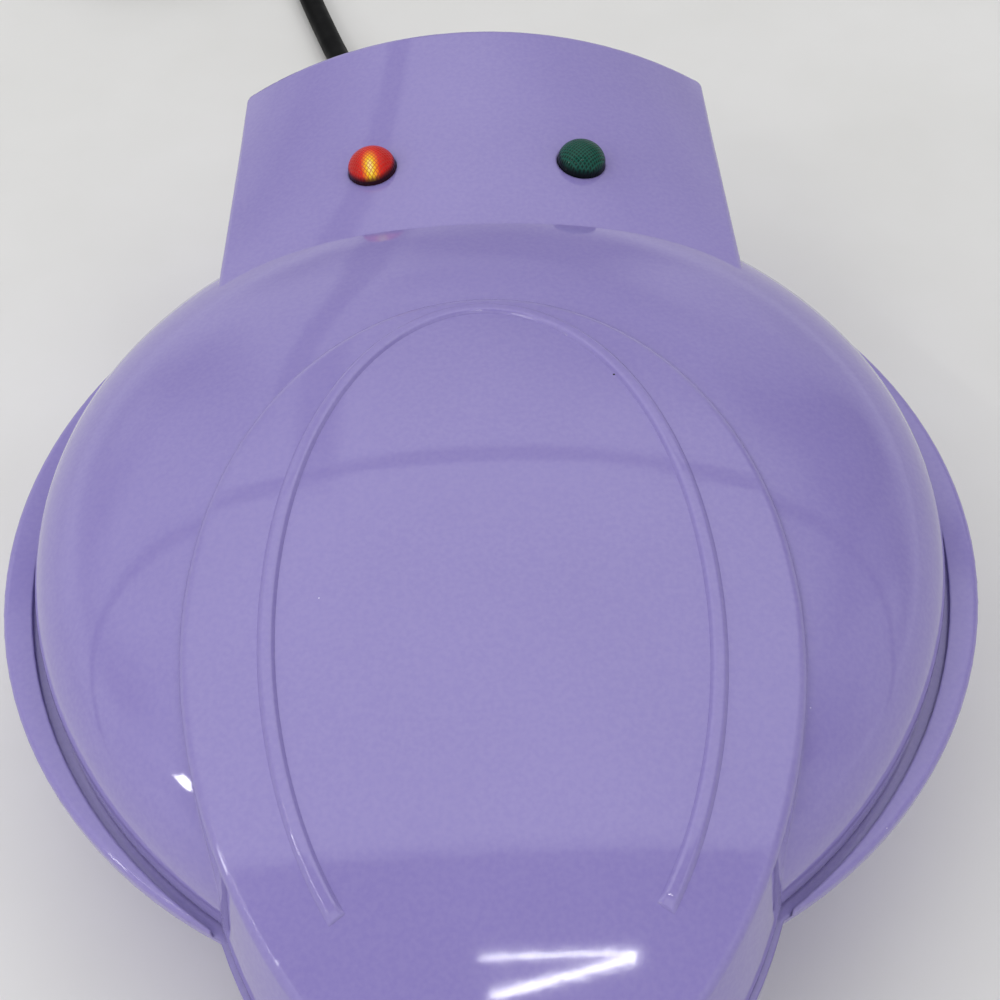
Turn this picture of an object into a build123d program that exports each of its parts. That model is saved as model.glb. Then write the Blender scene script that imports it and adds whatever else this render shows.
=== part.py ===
from build123d import *
import os
from math import asin, atan2, cos, degrees, hypot, pi, radians, sin, sqrt, tan

# A countertop cake pop maker: a round plastic clamshell that closes on two cooking plates with
# twelve half-round cavities each, hinged at the rear, with a lamp housing behind the dome and a
# handle in front. Millimetres, +Z up, the handle towards -Y, the table at z = 0.
# Until write_parts moves everything, y = 0 is the axis of the round body.

# Driving sizes
lid_r = 107.5
deck_z = 50.2
dome_height = 38.0
house_half = 67.5
lip_half = 66.0
lip_front = 103.0
cavity_r = 19.0
pin_r = 2.0
screw_r = 1.95
cord_r = 4.2

# Heights above the table
base_bottom = 3.5
flange_top = deck_z + 1.8
deck_t = 2.4
seam_gap = 0.8
lid_z = deck_z + seam_gap
plate_gap = 0.6
low_face_z = lid_z - plate_gap / 2
top_face_z = lid_z + plate_gap / 2

# Round body
flange_r = lid_r + 9.5
flange_edge = 1.6
front_shift = 14.5
ledge_gap = 2.4
wall = 2.6
foot_wall_r = lid_r - 10.5
waist_r = lid_r - 1.5
waist_z = deck_z - 16.2
flare_z = flange_top - 3.4

# Dome
lid_wall = 5.0
crease_z = lid_z + lid_wall
dome_power = 2.3

# Lamp housing behind the dome, and the hinge housing below it
house_back = lid_r + 48.0
house_top = crease_z + dome_height - 3.8
house_front_top = crease_z + dome_height - 9.8
house_crown_r = 120.0
house_front_crown_r = 460.0
cowl_half = house_half + 22.5
house_corner = 2.5
house_edge = 1.8
house_side_wall = 3.0
house_back_wall = 4.0
house_inner_front = lid_r - 47.5

# Raised platform and upper handle
egg_y = 59.5 - lid_r
egg_half = lip_half - 1.5
egg_rear = 88.0
egg_front = lip_front - 24.0
crest_y = -2.0
crest_z = crease_z + dome_height + 2.5
nose_drop = 37.07
crest_run = lip_front - egg_y + crest_y
crest_r = (crest_run**2 + nose_drop**2) / (2 * nose_drop)
cross_r = 330.0
egg_z = crest_z + 3.5
platform_edge = 2.4
platform_margin = 6.0
platform_sink = 1.2
bead_half = egg_half - 18.2
bead_rear = egg_rear - 3.0
bead_front = egg_front + 2.2
bead_y = egg_y - 2.0
bead_width = 2.2
bead_rise = 0.7
bead_end_y = egg_y - 60.0
finger_arch_half = lip_half - 18.5
finger_arch_rise = 9.5
nose_rib_y = egg_y - lip_front + 32.0
nose_rib = 2.2
rest_angle = 35.0
rest_r = 1.1

# Lower handle
grip_half = lip_half + 1.0
grip_front = lip_front + 2.0
grip_bottom = deck_z - 17.2
grip_draft = 6.0
grip_straight_z = deck_z - 6.2
grip_inner_front = nose_rib_y - 5.0
grip_inner_bottom = grip_bottom + 3.0
scoop_half = 40.0
scoop_r = 45.0
scoop_y = egg_y - lip_front - 9.0
scoop_z = deck_z + 35.8

# Hinge
hinge_y = house_back + 3.5
hinge_z = lid_z + 0.1
knuckle_r = 5.5
knuckle_len = 15.8
knuckle_gap = 0.4
knuckle_split = house_half - 22.5
gusset_y = hinge_y + 2.0
relief_gap = 0.4
pin_clearance = 0.05
stop_reach = 11.0
stop_half = 1.1

# Cooking plates
plate_r = lid_r - 13.0
plate_clearance = 0.6
plate_t = 2.6
plate_skirt = 10.0
skirt_t = 2.5
cup_wall = 1.9
outer_count = 9
inner_count = 3
outer_ring_r = plate_r - cavity_r - 11.2
inner_ring_r = (cavity_r + cup_wall + 0.15) / sin(pi / inner_count)
ear_angles = (90.0, 210.0, 330.0)
ear_r = plate_r + 4.8
ear_inner_r = plate_r - 2.0
ear_outer_r = plate_r + 8.5
ear_half = 5.0
ear_depth = 5.0
ear_t = 3.0
boss_r = 4.0
post_angles = (10.0, 130.0, 250.0)
post_ring_r = plate_r - 16.5
post_r = 4.0

# Heating element, its clamp and the heat shield behind each plate
element_r = (outer_ring_r + inner_ring_r) / 2
element_tube_r = 3.0
element_gap = 1.85
cup_reach = cavity_r + cup_wall + element_tube_r + element_gap
cup_aside = (outer_ring_r - inner_ring_r) / 2
element_depth = max(sqrt(max(cup_reach**2 - cup_aside**2, 0.0)), plate_skirt + element_tube_r + 1.0)
element_bend = 8.0
element_tail_x = 3.8
element_tail_end = plate_r - 2.5
element_pin_r = 1.2
element_pin_len = 8.0
clamp_t = 1.5
clamp_reach = element_r + 4.7
clamp_half = 5.0
shield_depth = max(element_depth + 7.8, cavity_r + cup_wall + 3.1)
shield_t = 0.8
shield_floor_r = plate_r - 10.5
shield_wall_r = plate_r - 3.5
shield_shoulder = shield_depth - 7.0
shield_lip = plate_skirt + 1.0

# Fasteners
hole_clearance = 0.05
screw_head_r = screw_r + 1.75
screw_head_h = 2.4
screw_len = 6.7
small_screw_r = 1.45
small_head_r = 2.7
small_head_h = 1.7
small_len = 8.0
slot_width = 0.9
slot_depth = 0.8

# Frame that closes the lid, and the bottom cover
frame_t = 2.2
frame_inset = 0.6
frame_bore = 1.9
frame_boss_top = 4.0
frame_boss_r = 4.2
side_screw_r = lid_r - 7.3
side_screw_angle = -15.6
fit_gap = 0.3
cover_z = 4.1
cover_t = 2.2
cover_boss_r = 4.2
cover_boss_top = 20.0
cover_screw_r = foot_wall_r - 7.4
cover_screw_angle = -29.4
foot_ring_r = foot_wall_r - 13.3
foot_angle = -49.8
foot_r = 9.0
foot_stem_r = 3.0
foot_bulge = 0.7
vent_count = 18
vent_ring_r = 46.0
vent_length = 26.0
vent_width = 3.2

# Lamps
lamp_x = 28.0
lamp_y = lid_r - 7.0
lens_r = 6.5
lens_gap = 0.12
lens_proud = 1.3
lens_dome = 1.6
lens_collar_r = 7.9
lens_collar_t = 1.4
lens_bore_r = 4.3
bulb_r = 3.0
bulb_len = 14.0
bulb_gap = 0.05
sleeve_r = 4.4
sleeve_len = 5.0
bracket_half = 48.0
bracket_y = lamp_y
bracket_width = 12.0
bracket_z = house_top - 21.0
bracket_t = 1.2
bracket_post_x = 43.0
bracket_post_r = 3.4

# Latch
latch_y = egg_y - lip_front - 0.5
latch_z = lid_z + 13.0
latch_half = 12.5
latch_barrel_r = 3.8
latch_ear_t = 3.0
latch_ear_r = 4.5
latch_gap = 0.3
latch_pin_r = 1.5
latch_plate_t = 2.6
latch_face_gap = 0.9
latch_hook_reach = 8.5
latch_hook_gap = 0.6
latch_hook_t = 3.6
latch_tab = 6.0
latch_open_deg = 20.0

# Cord and what is on it: the route's points are x, distance behind the rear wall, z
cord_clearance = 0.05
cord_exit_z = 20.0
cord_lie_z = cord_r + 0.1
cord_route = ((-22.0, -18.5, cord_exit_z), (-22.0, 10.5, cord_exit_z), (-22.15, 40.5, cord_exit_z - 0.1),
              (-44.3, 92.5, cord_lie_z), (-62.5, 149.5, cord_lie_z), (-73.0, 189.5, cord_lie_z),
              (-81.0, 229.5, cord_lie_z))
cord_points = [(x, house_back + y, z) for x, y, z in cord_route]
bend_share = 0.45
relief_bore_gap = 0.25
relief_length = 26.0
relief_neck_r = cord_r + 2.0
relief_flange_r = cord_r + 4.3
relief_flange_t = 2.0
relief_root_r = cord_r + 3.4
relief_tip_r = cord_r + 1.2
relief_rings = 5
coil_r = 50.0
coil_pitch = 2 * cord_r + 1.2
coil_layer = 2 * cord_r + 0.6
coil_climb_from = -30.0
coil_climb = 88.0
coil_level = 26.0
coil_drop = 56.0
plug_z = 7.6
plug_half_w = 12.5
plug_half_h = 7.2
plug_length = 34.0
plug_relief = 20.0
plug_relief_r = 6.2
blade_gap = 12.7
blade_width = 6.3
blade_t = 1.5
blade_length = 17.0

# Cord clamp inside the base
clamp_bar_half = 16.0
clamp_bar_y = house_back - 15.5
clamp_bar_width = 9.0
clamp_bar_t = 3.2
clamp_post_x = 11.0
clamp_post_r = 3.8

big = 400.0


def cut_block(x0, x1, y0, y1, z0, z1):
    """A box between two corners."""
    low = (x0, y0, z0)
    return Pos(*low) * Box(x1 - x0, y1 - y0, z1 - z0, align=(Align.MIN, Align.MIN, Align.MIN))


def rod(x, y, z0, z1, radius):
    """An upright round bar between two heights."""
    return Pos(x, y, z0) * Cylinder(radius, z1 - z0, align=(Align.CENTER, Align.CENTER, Align.MIN))


def rod_x(x0, x1, y, z, radius):
    """A round bar along X."""
    return Pos((x0 + x1) / 2, y, z) * Rot(0, 90, 0) * Cylinder(radius, x1 - x0)


def rod_y(x, y0, y1, z, radius):
    """A round bar along Y."""
    return Pos(x, (y0 + y1) / 2, z) * Rot(90, 0, 0) * Cylinder(radius, y1 - y0)


def polar(radius, angle):
    """A point at an angle in degrees."""
    return radius * cos(radians(angle)), radius * sin(radians(angle))


def twins(x, y):
    """The same place on both sides of the middle."""
    return [(-x, y), (x, y)]


def frame_screw_points():
    """Where the frame is screwed to the lid shell."""
    rear = twins(house_half - 17.5, house_back - 17.5)
    return rear + twins(*polar(side_screw_r, side_screw_angle)) + twins(36.0, nose_rib_y + 8.0)


def cover_screw_points():
    """Where the bottom cover is screwed on: two places behind, then two in front."""
    return twins(house_half - 11.5, house_back - 12.5) + twins(*polar(cover_screw_r, cover_screw_angle))


def foot_points():
    """Where the four feet stand."""
    return twins(house_half - 17.5, house_back - 31.5) + twins(*polar(foot_ring_r, foot_angle))


def rest_points():
    """Where the closed lid rests on the deck, under the upper handle's wall."""
    x, y = cos(radians(rest_angle)), sin(radians(rest_angle))
    return twins((lip_half - wall / 2) * x, egg_y - (lip_front - wall / 2) * y)


def extruded(face, z0, z1):
    """A flat outline raised between two heights."""
    return extrude(Pos(0, 0, z0) * face, amount=z1 - z0)


def round_plan(radius):
    """Outline of the round body: a half circle behind, two flatter arcs that meet in front."""
    long_r = radius + front_shift
    tip = sqrt(long_r**2 - front_shift**2)
    side = 90.0 - degrees(atan2(front_shift, tip))
    rear = CenterArc((0, 0), radius, 0, 180)
    left = CenterArc((front_shift, 0), long_r, 180, side)
    right = CenterArc((-front_shift, 0), long_r, 360 - side, side)
    return make_face([rear, left, right])


def egg_plan(half, rear, front, centre_y=egg_y):
    """Outline of the platform: two half ellipses about one cross line."""
    back = EllipticalCenterArc((0, centre_y), half, rear, 0, arc_size=180)
    nose = EllipticalCenterArc((0, centre_y), half, front, 180, arc_size=180)
    return make_face([back, nose])


def house_plan(half, back):
    """Outline of the lamp housing, from the middle of the body backwards."""
    return Pos(0, back / 2) * Rectangle(2 * half, back)


def lid_plan(grow):
    """Outline of the lid's lower edge, larger by a margin."""
    body = round_plan(lid_r + grow)
    house = house_plan(house_half + grow, house_back + grow)
    egg = egg_plan(lip_half + grow, egg_rear + grow, lip_front + grow)
    return body + house + egg


def dome_curve(radius, height, shift):
    """Half section of the dome from its crease to its crown, as points of a flattened ellipse."""
    steps = 8
    points = []
    for i in range(steps + 1):
        a = pi / 2 * i / steps
        across = radius * max(cos(a), 0.0) ** (2 / dome_power)
        up = height * sin(a) ** (2 / dome_power)
        points.append((shift + across, crease_z + up))
    return points


def turned_dome(radius, height, shift, floor_z):
    """The dome's section turned about one axis, with a flat crown of the shift's radius."""
    points = dome_curve(radius, height, shift)
    top = points[-1]
    rise = Spline(*points, tangents=[(0, 1), (-1, 0)])
    lines = [Line((0, floor_z), (shift + radius, floor_z)), Line((shift + radius, floor_z), points[0]), rise]
    if shift > 0:
        lines.append(Line(top, (0, top[1])))
    lines.append(Line((0, top[1]), (0, floor_z)))
    return revolve(Plane.XZ * make_face(lines), axis=Axis.Z)


def dome_body(inset, floor_z):
    """The dome as a solid: three turned pieces that share one section, each in its own sector."""
    radius = lid_r - inset
    height = dome_height - inset
    rear = turned_dome(radius, height, 0.0, floor_z) & cut_block(-big, big, 0, big, 0, big)
    turned = turned_dome(radius, height, front_shift, floor_z)
    left = (Pos(front_shift, 0, 0) * turned) & cut_block(-big, 0, -big, 0, 0, big)
    right = (Pos(-front_shift, 0, 0) * turned) & cut_block(0, big, -big, 0, 0, big)
    return rear + left + right


def crowned(radius, top, y):
    """An upright face under a crowned line, wider than the housing."""
    shoulder = top - (radius - sqrt(radius**2 - cowl_half**2))
    sides = Polyline((cowl_half, shoulder), (cowl_half, 0), (-cowl_half, 0), (-cowl_half, shoulder))
    arc = ThreePointArc((-cowl_half, shoulder), (0, top), (cowl_half, shoulder))
    return Plane.XZ.offset(-y) * make_face([*sides.edges(), arc])


def cowl(inset):
    """The space under the housing's top, which is nearly flat in front and crowned behind."""
    front = crowned(house_front_crown_r - inset, house_front_top - inset, house_inner_front)
    rear = crowned(house_crown_r - inset, house_top - inset, house_back)
    return loft([front, rear], ruled=True)


def house_body(inset_side, inset_back, inset_top, floor_z):
    """The lamp housing as a solid."""
    plan = house_plan(house_half - inset_side, house_back - inset_back)
    return extruded(plan, floor_z, egg_z + 5) & cowl(inset_top)


def barrel(inset):
    """A large barrel that gives the platform its gently crowned top."""
    axis_z = crest_z - crest_r
    half = 90.0
    cross = cross_r - inset
    top = crest_r - inset
    shoulder = top - (cross - sqrt(cross**2 - half**2))
    sides = Polyline((half, shoulder), (half, 0), (-half, 0), (-half, shoulder))
    section = make_face([*sides.edges(), ThreePointArc((-half, shoulder), (0, top), (half, shoulder))])
    turned = revolve(Plane.XZ * section, axis=Axis.X, revolution_arc=90)
    return Pos(0, crest_y, axis_z) * Rot(-45, 0, 0) * turned


def platform_body(inset, floor_z):
    """The raised platform that runs forward into the upper handle."""
    low_part = (lid_z - floor_z) / (egg_z - lid_z)
    low_half = lip_half + (lip_half - egg_half) * low_part
    low_front = lip_front + (lip_front - egg_front) * low_part
    low = egg_plan(low_half - inset, egg_rear - inset, low_front - inset)
    high = egg_plan(egg_half - inset, egg_rear - inset, egg_front - inset)
    prism = loft([Pos(0, 0, floor_z) * low, Pos(0, 0, egg_z) * high], ruled=True)
    return prism & barrel(inset)


def bead():
    """The thin raised arch on the platform, open towards the handle."""
    outer = egg_plan(bead_half + bead_width / 2, bead_rear + bead_width / 2, bead_front + bead_width / 2, bead_y)
    inner = egg_plan(bead_half - bead_width / 2, bead_rear - bead_width / 2, bead_front - bead_width / 2, bead_y)
    ring = extruded(outer, crease_z + 10, egg_z + 5) - extruded(inner, crease_z + 10, egg_z + 5)
    arch = ring & cut_block(-big, big, bead_end_y, big, 0, big)
    return (arch & barrel(-bead_rise)) - barrel(0.6)


def knuckles(x_in, x_out, radius):
    """A pair of bars on the hinge line, one each side."""
    right = rod_x(x_in, x_out, hinge_y, hinge_z, radius)
    left = rod_x(-x_out, -x_in, hinge_y, hinge_z, radius)
    return right + left


def both_sides(shape):
    """A shape together with its mirror image across the middle."""
    return shape + mirror(shape, about=Plane.YZ)


def cowl_spot(share, y):
    """The side distance and height of the housing's top, at a share of the way out from the middle."""
    along = (y - house_inner_front) / (house_back - house_inner_front)
    ends = ((house_front_crown_r, house_front_top, 1 - along), (house_crown_r, house_top, along))
    turns = [asin(cowl_half / radius) * share for radius, top, part in ends]
    x = sum(part * radius * sin(a) for a, (radius, top, part) in zip(turns, ends))
    z = sum(part * (top - radius * (1 - cos(a))) for a, (radius, top, part) in zip(turns, ends))
    return x, z


def cowl_height(x, y):
    """The height of the housing's top at a place."""
    share = 0.3
    for step in range(12):
        share *= x / cowl_spot(share, y)[0]
    return cowl_spot(share, y)[1]


def lamp_place(side):
    """A lamp's place on the housing's top, its axis square to the surface."""
    z = cowl_height(lamp_x, lamp_y)
    lean = degrees(atan2(cowl_height(lamp_x - 1, lamp_y) - cowl_height(lamp_x + 1, lamp_y), 2))
    pitch = degrees(atan2(cowl_height(lamp_x, lamp_y + 1) - cowl_height(lamp_x, lamp_y - 1), 2))
    return Pos(side * lamp_x, lamp_y, z) * Rot(pitch, side * lean, 0)


def filleted_house():
    """The lamp housing with its upright corners and its upper edges rounded."""
    house = house_body(0, 0, 0, lid_z)
    upright = [e for e in house.edges().filter_by(Axis.Z) if e.center().Y > house_back - 1]
    house = fillet(upright, house_corner)
    top = [e for e in house.edges() if e.center().Z > 60 and e.center().Y > house_inner_front + 1]
    top = [e for e in top if e.bounding_box().max.Y > house_inner_front + 2]
    return fillet(top, house_edge)


def filleted_platform():
    """The platform with its upper edge rounded."""
    body = platform_body(0, lid_z)
    edges = [e for e in body.edges() if e.geom_type != GeomType.LINE and e.center().Z > lid_z + 10]
    return fillet(edges, platform_edge)


def sunk_dome(inset, floor_z):
    """The dome, cut down to stay under the platform's top where the platform covers it."""
    margin = inset + platform_margin
    plan = egg_plan(egg_half - margin, egg_rear - margin, egg_front - margin)
    return dome_body(inset, floor_z) - (extruded(plan, crease_z, egg_z + 5) - barrel(inset + platform_sink))


def lid_cavity(clearance=0.0, floor_z=lid_z - 1):
    """The hollow inside the lid."""
    inset = wall + clearance
    dome = sunk_dome(inset, floor_z)
    side = house_side_wall + clearance
    house = house_body(side, house_back_wall + clearance, inset, floor_z)
    return dome + house + platform_body(inset, floor_z)


def lid_bosses():
    """Posts that hang from the lid's ceiling, and the rib across the nose."""
    frame_top = lid_z + frame_inset + frame_boss_top
    posts = [rod(x, y, frame_top, egg_z, frame_boss_r) for x, y in frame_screw_points()]
    bracket_top = bracket_z + bracket_t
    posts += [rod(side * bracket_post_x, bracket_y, bracket_top, egg_z, bracket_post_r) for side in (-1, 1)]
    rib = cut_block(-big, big, nose_rib_y - nose_rib / 2, nose_rib_y + nose_rib / 2, lid_z + 1.2, egg_z)
    return posts, rib


def lid_holes():
    """Screw holes and lamp holes of the lid shell."""
    frame_top = lid_z + frame_inset + frame_boss_top
    radius = small_screw_r + hole_clearance
    deep = small_len - (frame_boss_top - frame_bore) + 0.6
    holes = [rod(x, y, frame_top - 1, frame_top + deep, radius) for x, y in frame_screw_points()]
    bracket_top = bracket_z + bracket_t
    for side in (-1, 1):
        holes.append(rod(side * bracket_post_x, bracket_y, bracket_top - 1, bracket_top + small_len - 0.8, radius))
        holes.append(lamp_place(side) * Cylinder(lens_r + lens_gap, 12))
        collar = Cylinder(lens_collar_r + lens_gap, 8, align=(Align.CENTER, Align.CENTER, Align.MAX))
        holes.append(lamp_place(side) * Pos(0, 0, -wall) * collar)
    return holes


def latch_ears():
    """The two ears at the nose that carry the latch pin."""
    inner = latch_half + latch_gap
    ear = rod_x(inner, inner + latch_ear_t, latch_y, latch_z, latch_ear_r)
    root = cut_block(inner, inner + latch_ear_t, latch_y, latch_y + 8.0, latch_z - 3.5, latch_z + latch_ear_r)
    hole = rod_x(inner - 1, inner + latch_ear_t + 1, latch_y, latch_z, latch_pin_r + hole_clearance)
    return both_sides(ear + root - hole)


def finger_arch():
    """The hollow in the lower edge of the upper handle, a wide arc across the nose."""
    radius = (finger_arch_half**2 + finger_arch_rise**2) / (2 * finger_arch_rise)
    centre_z = lid_z + finger_arch_rise - radius
    bar = rod_y(0, -big / 2, nose_rib_y - 4.0, centre_z, radius)
    return bar & cut_block(-big, big, -big, 0, lid_z - 5, big)


def lid_shell():
    """Dome, lamp housing, platform and upper handle in one moulding."""
    outer = sunk_dome(0, lid_z) + filleted_house()
    outer = outer + filleted_platform() + bead()
    posts, rib = lid_bosses()
    hollow = lid_cavity() - rib
    for post in posts:
        hollow = hollow - post
    shell = outer - hollow
    for hole in lid_holes():
        shell = shell - hole
    x_in = knuckle_split - knuckle_gap / 2 - knuckle_len
    x_out = knuckle_split - knuckle_gap / 2
    web = cut_block(x_in, x_out, house_back - 1.5, gusset_y, hinge_z, hinge_z + knuckle_r)
    stop = cut_block(x_in, x_out, hinge_y, hinge_y + stop_reach, hinge_z - stop_half, hinge_z + stop_half)
    arms = both_sides(rod_x(x_in, x_out, hinge_y, hinge_z, knuckle_r) + web + stop)
    shell = shell + arms
    shell = shell - knuckles(x_in - 1, x_out + 1, pin_r + pin_clearance)
    reach = knuckle_split + knuckle_len + knuckle_gap
    shell = shell - knuckles(x_out, reach, knuckle_r + relief_gap)
    return shell - finger_arch() + latch_ears()


def lid_frame():
    """The plate that closes the lid from below round the upper cooking plate."""
    low = lid_z + frame_inset
    high = low + frame_t
    body = round_plan(lid_r - wall - fit_gap)
    body = body + house_plan(house_half - house_side_wall - fit_gap, house_back - house_back_wall - fit_gap)
    body = body + egg_plan(lip_half - wall - fit_gap - 1.0, egg_rear - wall, lip_front - wall - fit_gap - 1.0)
    slab = extruded(body, low, high)
    back_edge = nose_rib_y + nose_rib / 2 + fit_gap
    slab = slab & cut_block(-big, big, back_edge, big, 0, big)
    ear_top = top_face_z + ear_depth
    bosses = [rod(*polar(ear_r, a), low, ear_top, boss_r) for a in ear_angles]
    posts = [rod(x, y, low, low + frame_boss_top, frame_boss_r) for x, y in frame_screw_points()]
    fence = extruded(body, low, egg_z)
    frame = slab + (Compound(posts) & fence)
    frame = frame - rod(0, 0, low - 1, high + 20, plate_r + plate_clearance)
    frame = frame + [b - rod(0, 0, 0, 100, plate_r + plate_clearance) for b in bosses]
    for a in ear_angles:
        frame = frame - rod(*polar(ear_r, a), ear_top - screw_len + ear_t - 0.3, ear_top + 1, screw_r + hole_clearance)
    for x, y in frame_screw_points():
        frame = frame - rod(x, y, low - 1, low + frame_boss_top + 1, small_screw_r + hole_clearance)
        frame = frame - rod(x, y, low - 1, low + frame_bore, small_head_r + 0.2)
    return frame


def base_curve(inset):
    """Half section of the round base's side, from the lower edge up to the flange."""
    low = (foot_wall_r - inset, base_bottom)
    middle = (waist_r - inset, waist_z)
    high = (flange_r - inset, flare_z)
    return Spline(low, middle, high, tangents=[(0.25, 1), (0.75, 1)])


def base_round():
    """The round part of the base with its flange, solid."""
    lines = [Line((0, base_bottom), (foot_wall_r, base_bottom)), base_curve(0)]
    lines.append(Line((flange_r, flare_z), (flange_r, flange_top)))
    lines.append(Line((flange_r, flange_top), (0, flange_top)))
    lines.append(Line((0, flange_top), (0, base_bottom)))
    body = revolve(Plane.XZ * make_face(lines), axis=Axis.Z)
    rim = [e for e in body.edges() if e.geom_type == GeomType.CIRCLE and abs(e.radius - flange_r) < 0.01]
    return fillet([e for e in rim if e.center().Z > flange_top - 0.1], flange_edge)


def base_hollow():
    """The hollow inside the round part of the base."""
    top = deck_z - deck_t
    lines = [Line((0, base_bottom - 2), (foot_wall_r - wall, base_bottom - 2))]
    lines.append(Line((foot_wall_r - wall, base_bottom - 2), (foot_wall_r - wall, base_bottom)))
    lines.append(base_curve(wall))
    lines.append(Line((flange_r - wall, flare_z), (0, flare_z)))
    lines.append(Line((0, flare_z), (0, base_bottom - 2)))
    body = revolve(Plane.XZ * make_face(lines), axis=Axis.Z)
    limit = rod(0, 0, base_bottom - 2, top, flange_r - 6.0)
    return body & limit


def base_house():
    """The hinge housing of the base, solid, with rounded upright corners."""
    block = extruded(house_plan(house_half, house_back), base_bottom, deck_z)
    upright = [e for e in block.edges().filter_by(Axis.Z) if e.center().Y > house_back - 1]
    return fillet(upright, house_corner)


def grip(inset, low_z, high_z):
    """The lower half of the handle, drawn in towards its underside."""
    foot = egg_plan(grip_half - grip_draft - inset, 60.0, grip_front - grip_draft - inset)
    full = egg_plan(grip_half - inset, 60.0, grip_front - inset)
    straight_z = grip_straight_z
    if inset > 0:
        straight_z = grip_straight_z + 1.0
    lower = loft([Pos(0, 0, low_z) * foot, Pos(0, 0, straight_z) * full], ruled=True)
    return lower + extruded(full, straight_z, high_z)


def cover_posts():
    """Posts for the bottom cover's screws, the front two tied to the wall by a rib."""
    rear = [rod(x, y, cover_z + cover_t, deck_z, cover_boss_r) for x, y in cover_screw_points()[:2]]
    front = []
    for x, y in cover_screw_points()[2:]:
        turn = degrees(atan2(y, x))
        rib = Rot(0, 0, turn) * cut_block(hypot(x, y), flange_r - 7.0, -1.2, 1.2, cover_z + cover_t, cover_boss_top)
        front.append(rod(x, y, cover_z + cover_t, cover_boss_top, cover_boss_r) + rib)
    return rear + front


def clamp_saddle():
    """The wall above the cord and its two screw posts, hanging from the deck."""
    x0 = cord_points[0][0]
    z0 = cord_points[0][2]
    half = clamp_bar_width / 2
    low = z0 - cord_r
    posts = [rod(x0 + side * clamp_post_x, clamp_bar_y, low, deck_z, clamp_post_r) for side in (-1, 1)]
    web = cut_block(x0 - clamp_post_x, x0 + clamp_post_x, clamp_bar_y - 1.5, clamp_bar_y + 1.5, z0, deck_z)
    web = web - rod_y(x0, clamp_bar_y - half, clamp_bar_y + half, z0, cord_r + cord_clearance)
    return [posts[0], posts[1], web]


def base_shell():
    """Flange, deck, hinge housing and lower handle in one moulding."""
    outer = base_round() + base_house() + grip(0, grip_bottom, deck_z)
    outer = outer - extruded(lid_plan(ledge_gap), deck_z, flange_top + 5)
    top = deck_z - deck_t
    hollow = base_hollow()
    inner = house_plan(house_half - house_side_wall, house_back - house_back_wall)
    hollow = hollow + extruded(inner, base_bottom - 2, top)
    inner_grip = grip(wall, grip_inner_bottom, top) & cut_block(-big, big, grip_inner_front, big, 0, big)
    hollow = hollow + inner_grip
    for post in cover_posts() + clamp_saddle():
        hollow = hollow - post
    for a in ear_angles:
        hollow = hollow - rod(*polar(ear_r, a), low_face_z - ear_depth, deck_z, boss_r)
    shell = outer - hollow
    shell = shell - rod(0, 0, top - 3, flange_top + 5, plate_r + plate_clearance)
    for a in ear_angles:
        floor = low_face_z - ear_depth - ear_t
        shell = shell - rod(*polar(ear_r, a), floor, floor + screw_len + 0.3, screw_r + hole_clearance)
    radius = small_screw_r + hole_clearance
    for x, y in cover_screw_points():
        shell = shell - rod(x, y, cover_z + 1, cover_z + small_len + 0.6, radius)
    x0 = cord_points[0][0]
    z0 = cord_points[0][2]
    for side in (-1, 1):
        z = z0 - cord_r - clamp_bar_t
        shell = shell - rod(x0 + side * clamp_post_x, clamp_bar_y, z, z + small_len + 0.6, radius)
    shell = shell - rod_y(x0, house_back - house_back_wall - 1, house_back + 1, z0, relief_neck_r + hole_clearance)
    scoop = rod_x(-scoop_half, scoop_half, scoop_y, scoop_z, scoop_r)
    shell = shell - scoop
    x_in = knuckle_split + knuckle_gap / 2
    x_out = x_in + knuckle_len
    web = cut_block(x_in, x_out, house_back - 1.5, gusset_y, hinge_z - knuckle_r, hinge_z)
    shell = shell + both_sides(rod_x(x_in, x_out, hinge_y, hinge_z, knuckle_r) + web)
    shell = shell - knuckles(x_in - 1, x_out + 1, pin_r + pin_clearance)
    reach = knuckle_split - knuckle_gap - knuckle_len
    shell = shell - knuckles(reach, x_in, knuckle_r + relief_gap)
    rests = [rod(x, y, deck_z - 1, lid_z, rest_r) for x, y in rest_points()]
    return shell + rests


def hinge_pins():
    """The two pins on the hinge line."""
    x_in = knuckle_split - knuckle_len + 0.4
    x_out = knuckle_split + knuckle_len - 0.4
    right = rod_x(x_in, x_out, hinge_y, hinge_z, pin_r)
    return [right, mirror(right, about=Plane.YZ)]


def balls(radius):
    """The twelve balls that shape the cavities."""
    places = [polar(outer_ring_r, 30 + 360 / outer_count * i) for i in range(outer_count)]
    places += [polar(inner_ring_r, 90 + 360 / inner_count * i) for i in range(inner_count)]
    return [Pos(x, y, 0) * Sphere(radius) for x, y in places]


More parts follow.
